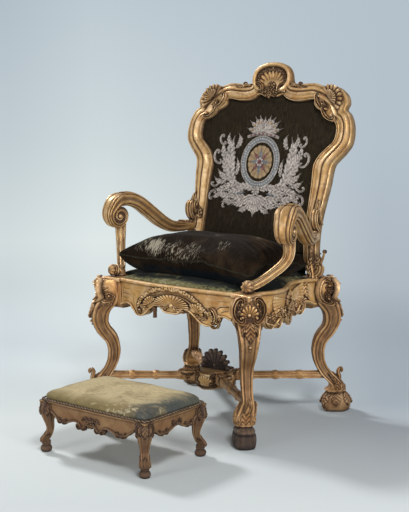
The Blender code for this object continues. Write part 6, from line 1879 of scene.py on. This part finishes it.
class ArmchairColours(bpy.types.PropertyGroup):
    """Colours that a user may change."""

    gilding: bpy.props.FloatVectorProperty(
        name="Gilding", description="Colour of the gilding", subtype="COLOR", default=(0.56, 0.325, 0.115),
        min=0, max=1,
    )
    # The colour painted in the carving's hollows as shade
    recess_shade: bpy.props.FloatVectorProperty(
        name="Recess", description="Colour in the hollows of the carving", subtype="COLOR",
        default=(0.070, 0.031, 0.014), min=0, max=1,
    )
    velvet: bpy.props.FloatVectorProperty(
        name="Velvet", description="Colour of the dark velvet", subtype="COLOR", default=(0.0135, 0.0100, 0.0058),
        min=0, max=1,
    )
    stool_velvet: bpy.props.FloatVectorProperty(
        name="Stool velvet", description="Colour of the footstool's velvet", subtype="COLOR",
        default=(0.45, 0.365, 0.21), min=0, max=1,
    )
    thread: bpy.props.FloatVectorProperty(
        name="Thread", description="Colour of the metal thread", subtype="COLOR", default=(0.70, 0.61, 0.54),
        min=0, max=1,
    )
    backdrop: bpy.props.FloatVectorProperty(
        name="Backdrop", description="Tint of the backdrop and floor", subtype="COLOR", default=(1.0, 1.0, 1.0),
        min=0, max=1,
    )


def backdrop_group(tint):
    """The pale backdrop: its colour by the way that a point lies from where the photograph was taken."""
    name = "backdrop_shades"
    if name in bpy.data.node_groups:
        return bpy.data.node_groups[name]
    tree = bpy.data.node_groups.new(name, "ShaderNodeTree")
    tree.interface.new_socket("Way", in_out="INPUT", socket_type="NodeSocketVector")
    tree.interface.new_socket("Colour", in_out="OUTPUT", socket_type="NodeSocketColor")
    way = tree.nodes.new("NodeGroupInput").outputs["Way"]

    def along(axis):
        return wire(tree, "ShaderNodeVectorMath", {0: way, 1: axis}, operation="DOT_PRODUCT").outputs["Value"]

    forward = wire(tree, "ShaderNodeVectorMath", {0: way}, operation="LENGTH").outputs["Value"]
    aside = maths(tree, "DIVIDE", along((0.78679, 0.61722, 0)), forward)
    down = maths(tree, "DIVIDE", along((0.08937, -0.11392, -0.98946)), forward)
    down = stretch_line(tree, down, -0.219, 0.219)
    middle, right = (
        ramp(tree, down, [(place, [to_linear(item) for item in shade]) for place, shade in stops])
        for stops in (
            ((0, mist), (0.28, np.add(mist, bright) / 2), (0.47, bright), (0.665, haze), (0.81, paper),
             (0.97, near_floor)),
            ((0.28, slate), (0.78, shaded_slate), (0.84, shaded_paper), (0.97, near_floor)),
        )
    )
    left = mix_colour(tree, stretch_line(tree, down, 0.81, 0.665), middle, (0.873, 0.883, 0.904), "MULTIPLY")
    colour = mix_colour(tree, stretch_line(tree, aside, -0.165, -0.095), left, middle)
    colour = mix_colour(tree, stretch_line(tree, aside, -0.08, 0.15), colour, right)
    colour = mix_colour(tree, 1.0, colour, tint, "MULTIPLY")
    made = tree.nodes.new("NodeGroupOutput")
    tree.links.new(colour, made.inputs["Colour"])
    return tree


class MakeStage(bpy.types.Operator):
    """Makes the camera, the lamps, the pale surroundings and the floor"""

    bl_idname = "armchair.stage"
    bl_label = "Stage"

    def execute(self, context):
        sizes, colours = context.scene.armchair_sizes, context.scene.armchair_colours
        scene = context.scene
        scene.view_settings.view_transform = "Standard"
        camera = add_object("camera", bpy.data.cameras.new("camera"))
        camera.data.lens = sizes.lens
        camera.data.sensor_width = 36
        camera.location = (2.6416, -3.2574, 1.2321)
        camera.rotation_euler = (math.radians(81.677), 0, math.radians(38.117))
        scene.camera = camera
        for name, place, target, size, power in (
            ("left_lamp", (-4.6, 0.7, 4.5), (0, 0, 0.2), 1.0, 245),
            ("high_lamp", (3.0, -2.4, 4.6), (0, 0, 0.3), 1.2, 130),
            ("right_lamp", (3.6, -1.2, 0.95), (0, 0, 0.7), 1.3, 52),
            ("front_lamp", (-0.6, -4.1, 0.95), (0, 0, 0.7), 1.3, 50),
        ):
            lamp = add_object(name, bpy.data.lights.new(name, "AREA"))
            lamp.data.shape = "SQUARE"
            lamp.data.size = size
            lamp.data.energy = power
            lamp.location = place
            way = np.array(target, float) - np.array(place, float)
            level = math.hypot(way[0], way[1])
            lamp.rotation_euler = (math.atan2(level, -way[2]), 0, math.atan2(-way[0], way[1]))
        world = bpy.data.worlds.new("surroundings")
        scene.world = world
        world.use_nodes = True
        tree = world.node_tree
        tree.nodes.clear()
        way = tree.nodes.new("ShaderNodeTexCoord").outputs["Generated"]
        sky = wire(tree, "ShaderNodeGroup", {}, node_tree=backdrop_group(tuple(colours.backdrop)))
        tree.links.new(way, sky.inputs["Way"])
        sky = sky.outputs["Colour"]
        seen = tree.nodes.new("ShaderNodeLightPath")
        share = maths(tree, "MAXIMUM", seen.outputs["Is Camera Ray"],
                      maths(tree, "MAXIMUM", seen.outputs["Is Glossy Ray"], seen.outputs["Is Transmission Ray"]))
        shown = wire(tree, "ShaderNodeBackground", {"Color": sky, "Strength": 1.0})
        light = wire(tree, "ShaderNodeBackground", {"Color": (0.88, 0.94, 1.0, 1), "Strength": 0.14})
        mixed = wire(tree, "ShaderNodeMixShader", {0: share, 1: light.outputs[0], 2: shown.outputs[0]})
        out = tree.nodes.new("ShaderNodeOutputWorld")
        tree.links.new(mixed.outputs[0], out.inputs[0])
        reach = sizes.floor_reach
        mesh = bpy.data.meshes.new("floor")
        mesh.from_pydata([(reach * math.cos(a), reach * math.sin(a), 0) for a in turns(64)], [], [tuple(range(64))])
        add_object("floor", mesh)
        material = bpy.data.materials.new("floor_paper")
        material.use_nodes = True
        tree = material.node_tree
        shader = tree.nodes["Principled BSDF"]
        shader.inputs["Roughness"].default_value = 0.9
        shader.inputs["Specular IOR Level"].default_value = 0.1
        place = tree.nodes.new("ShaderNodeTexCoord").outputs["Object"]
        way = wire(tree, "ShaderNodeVectorMath", {0: place, 1: tuple(camera.location)},
                   operation="SUBTRACT").outputs[0]
        paper = wire(tree, "ShaderNodeGroup", {}, node_tree=backdrop_group(tuple(colours.backdrop)))
        tree.links.new(way, paper.inputs["Way"])
        paper = paper.outputs["Colour"]
        # The floor's colour is painted lighter farther back; far off it glows with the backdrop's shades instead of
        # being lit
        depth = wire(tree, "ShaderNodeVectorMath", {0: place, 1: (-0.259, 0.966, 0)}, operation="DOT_PRODUCT")
        painted_depth_light = maths(tree, "MULTIPLY", stretch_range(tree, depth.outputs["Value"], 0.1, 0.6), 0.13)
        painted_depth_light = maths(tree, "ADD", 0.99, painted_depth_light)
        lit = mix_colour(tree, 1.0, paper, painted_depth_light, "MULTIPLY")
        tree.links.new(lit, shader.inputs["Base Color"])
        radius = wire(tree, "ShaderNodeVectorMath", {0: place}, operation="LENGTH").outputs["Value"]
        glow = wire(tree, "ShaderNodeEmission", {"Color": paper, "Strength": 1.0})
        share = stretch_range(tree, radius, 1.5, 3.4)
        mixed = wire(tree, "ShaderNodeMixShader", {0: share, 1: shader.outputs[0], 2: glow.outputs[0]})
        tree.links.new(mixed.outputs[0], tree.nodes["Material Output"].inputs[0])
        mesh.materials.append(material)
        return {"FINISHED"}


class MakeLegs(bpy.types.Operator):
    """Makes the four carved cabriole legs and their feet"""

    bl_idname = "armchair.legs"
    bl_label = "Legs and feet"

    def execute(self, context):
        relief = context.scene.armchair_sizes.relief
        for side, side_word in ((-1, "left"), (1, "right")):
            for end, end_word in ((-1, "front"), (1, "back")):
                leg = chair_leg(side, end)
                name = f"{end_word}_{side_word}"
                carved(make_leg_piece(leg, relief), f"{name}_carved_leg", "shaded_leg_gilding", f"{name}_leg")
                finish = "dark_carving" if end < 0 else "brown_gilding"
                carved(make_foot_piece(leg), f"{name}_carved_foot", finish, f"{name}_foot", slot="worn_gilded_wood")
        return {"FINISHED"}


class MakeSeatRails(bpy.types.Operator):
    """Makes the four seat rails with their carved aprons"""

    bl_idname = "armchair.rails"
    bl_label = "Seat rails"

    def execute(self, context):
        for word in ("front", "left", "right", "back"):
            name = f"{word}_seat_rail"
            slot = "worn_gilded_wood" if word == "back" else "gilded_wood"
            carving = make_rail_piece(word, context.scene.armchair_sizes.relief)
            carved(carving, f"{name}_carved", "matte_gilding", name, slot=slot)
        return {"FINISHED"}


class MakeStretchers(bpy.types.Operator):
    """Makes the crossed stretchers, their hub and its shell"""

    bl_idname = "armchair.stretchers"
    bl_label = "Stretchers, hub and shell"

    def execute(self, context):
        for side, side_word in ((-1, "left"), (1, "right")):
            for end, end_word in ((-1, "front"), (1, "back")):
                name = f"{end_word}_{side_word}_stretcher"
                carved(make_stretcher(side, end), f"{name}_carved", "shaded_leg_gilding", name)
        carved(make_hub_piece(), "carved_hub", "gilding", "stretcher_hub")
        carved(make_shell_piece(), "carved_shell", "dark_carving", "shell_finial", slot="worn_gilded_wood")
        return {"FINISHED"}


class MakeBackFrame(bpy.types.Operator):
    """Makes the carved crest rail and the two stiles"""

    bl_idname = "armchair.back_frame"
    bl_label = "Back frame"

    def execute(self, context):
        relief = context.scene.armchair_sizes.relief
        carved(make_crest(relief), "carved_crest", "gilding", "crest_rail")
        for side, word in ((-1, "left"), (1, "right")):
            carved(make_stile(side, relief), f"{word}_carved_stile", "gilding", f"{word}_stile")
        return {"FINISHED"}


class MakeUpholsteredBack(bpy.types.Operator):
    """Makes the velvet of the back and the raised ornament on it"""

    bl_idname = "armchair.upholstered_back"
    bl_label = "Upholstered back"

    def execute(self, context):
        sizes = context.scene.armchair_sizes
        piece = carved(make_panel(), "back_velvet_panel", "back_velvet", "back_panel", slot="dark_velvet")
        piece = merged_copy("lower_back_rail", "lower_rail_velvet")
        points = points_of(piece.data).astype(float)
        low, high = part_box("lower_back_rail")
        points[:, 2] -= 0.0085 * ease(((low.z + high.z) / 2 - points[:, 2]) / 0.01)
        move_points(piece.data, points)
        with_modifier(piece, "BEVEL", width=0.004, segments=3)
        # A strip of velvet hangs from it behind the seat pad
        lining = bmesh.new()
        lining.from_mesh(piece.data)
        place = Vector((0, high.y - 0.0008, seat_height + 0.0135))
        bmesh.ops.create_cube(lining, size=1, matrix=Matrix.LocRotScale(place, None, Vector((0.472, 0.0014, 0.026))))
        lining.to_mesh(piece.data)
        lining.free()
        settle(piece, "chair", "dark_velvet", get_finish("back_velvet"), "lower_back_rail")
        parts, path = make_embroidery()
        for key, carving in parts.items():
            nodes = ["back_embroidery"] if key == "silver" else []
            carved(carving, f"back_ornament_{key}", f"{key}_thread", *nodes, slot="silver_thread", angle=60)
        beads = beads_along("back_ornament_beads", path, sizes.bead_spacing, sizes.bead_radius, chair_origin,
                            get_finish("silver_thread"))
        settle(beads, "chair", "silver_thread", get_finish("silver_thread"))
        x, z = (panel_middle + (panel_outline(300) - panel_middle) * 0.985).T
        nails = beads_along("rear_cover_nails", back_plane(x, z, -0.0405), 0.022, 0.0042, chair_origin,
                            get_finish("nail_heads"))
        settle(nails, "chair", "gilded_wood", get_finish("nail_heads"))
        return {"FINISHED"}


class MakeArms(bpy.types.Operator):
    """Makes the fluted arms with their rolls, and the supports under them"""

    bl_idname = "armchair.arms"
    bl_label = "Arms and supports"

    def execute(self, context):
        for side, word in ((-1, "left"), (1, "right")):
            carved(make_arm(side), f"{word}_carved_arm", "gilding", f"{word}_arm")
            carved(make_support(side), f"{word}_carved_support", "gilding", f"{word}_arm_support")
        return {"FINISHED"}


class MakeSeat(bpy.types.Operator):
    """Makes the velvet slip seat"""

    bl_idname = "armchair.seat"
    bl_label = "Slip seat"

    def execute(self, context):
        piece = soft_pad("seat_pad", "seat_velvet_pad", 0.006, 0.4, 0.003, 0.0006)
        settle(piece, "chair", "seat_velvet", get_finish("seat_velvet"), "seat_pad")
        return {"FINISHED"}


class MakeCushion(bpy.types.Operator):
    """Makes the loose cushion and its braid"""

    bl_idname = "armchair.cushion"
    bl_label = "Cushion"

    def execute(self, context):
        piece, edge = make_cushion_piece()
        settle(piece, "cushion", "dark_velvet", get_finish("cushion_velvet"), "cushion")
        braid = beads_along("cushion_braid", edge, 0.0046, 0.0036, chair_origin,
                            get_finish("braid"), (0.55, 1.35))
        settle(braid, "cushion", "dark_velvet", get_finish("braid"))
        return {"FINISHED"}


class MakeFootstool(bpy.types.Operator):
    """Makes the footstool's legs, rails and velvet top"""

    bl_idname = "armchair.footstool"
    bl_label = "Footstool"

    def execute(self, context):
        relief = context.scene.armchair_sizes.relief
        parts = {}
        for side, side_word in ((-1, "left"), (1, "right")):
            for end, end_word in ((-1, "front"), (1, "back")):
                parts[f"stool_{end_word}_{side_word}_leg"] = make_stool_leg(side, end)
        for axis, sign, word in (("x", -1, "front"), ("x", 1, "back"), ("y", -1, "left"), ("y", 1, "right")):
            parts[f"stool_{word}_rail"] = make_stool_rail(axis, sign, relief)
        for name, carving in parts.items():
            carved(carving, f"{name}_carved", "stool_gilding", name, body="footstool", origin=stool_origin)
        piece = soft_pad("stool_pad", "stool_velvet_pad", 0.005, 1.0, 0.004, 0.0012, (0.1845, 0.002, 0.2305, 0.1505))
        settle(piece, "footstool", "stool_velvet", get_finish("stool_velvet"), "stool_pad")
        rope = make_rope(0.2340, 0.1540, 0.1858, 0.0033, 110)
        carved(rope, "stool_rope", "rope", body="footstool", slot="stool_velvet", origin=stool_origin)
        return {"FINISHED"}


class FinishInnerPieces(bpy.types.Operator):
    """Gives the inner frames, braces, webbing and rear cover their materials"""

    bl_idname = "armchair.inner_pieces"
    bl_label = "Inner pieces"

    def execute(self, context):
        colour_nodes()
        return {"FINISHED"}


class ArmchairPanel(bpy.types.Panel):
    """Lists the settings and the steps"""

    bl_idname = "VIEW3D_PT_armchair"
    bl_label = "Carved Armchair"
    bl_space_type = "VIEW_3D"
    bl_region_type = "UI"
    bl_category = "Armchair"

    def draw(self, context):
        layout = self.layout
        for group in (context.scene.armchair_sizes, context.scene.armchair_colours):
            for name in group.__annotations__:
                layout.prop(group, name)
        for step in steps:
            layout.operator(step.bl_idname)


steps = (
    MakeStage, MakeLegs, MakeSeatRails, MakeStretchers, MakeBackFrame, MakeUpholsteredBack, MakeArms, MakeSeat,
    MakeCushion, MakeFootstool, FinishInnerPieces,
)
groups = {"armchair_sizes": ArmchairSizes, "armchair_colours": ArmchairColours}


def register():
    for group in groups.values():
        bpy.utils.register_class(group)
    for name, group in groups.items():
        setattr(bpy.types.Scene, name, bpy.props.PointerProperty(type=group))
    for step in steps:
        bpy.utils.register_class(step)
    bpy.utils.register_class(ArmchairPanel)


def unregister():
    bpy.utils.unregister_class(ArmchairPanel)
    for step in reversed(steps):
        bpy.utils.unregister_class(step)
    for name, group in groups.items():
        delattr(bpy.types.Scene, name)
        bpy.utils.unregister_class(group)


def main():
    register()
    for step in steps:
        getattr(bpy.ops.armchair, step.bl_idname.split(".")[1])()
    bpy.context.view_layer.update()


if __name__ == "__main__":
    main()
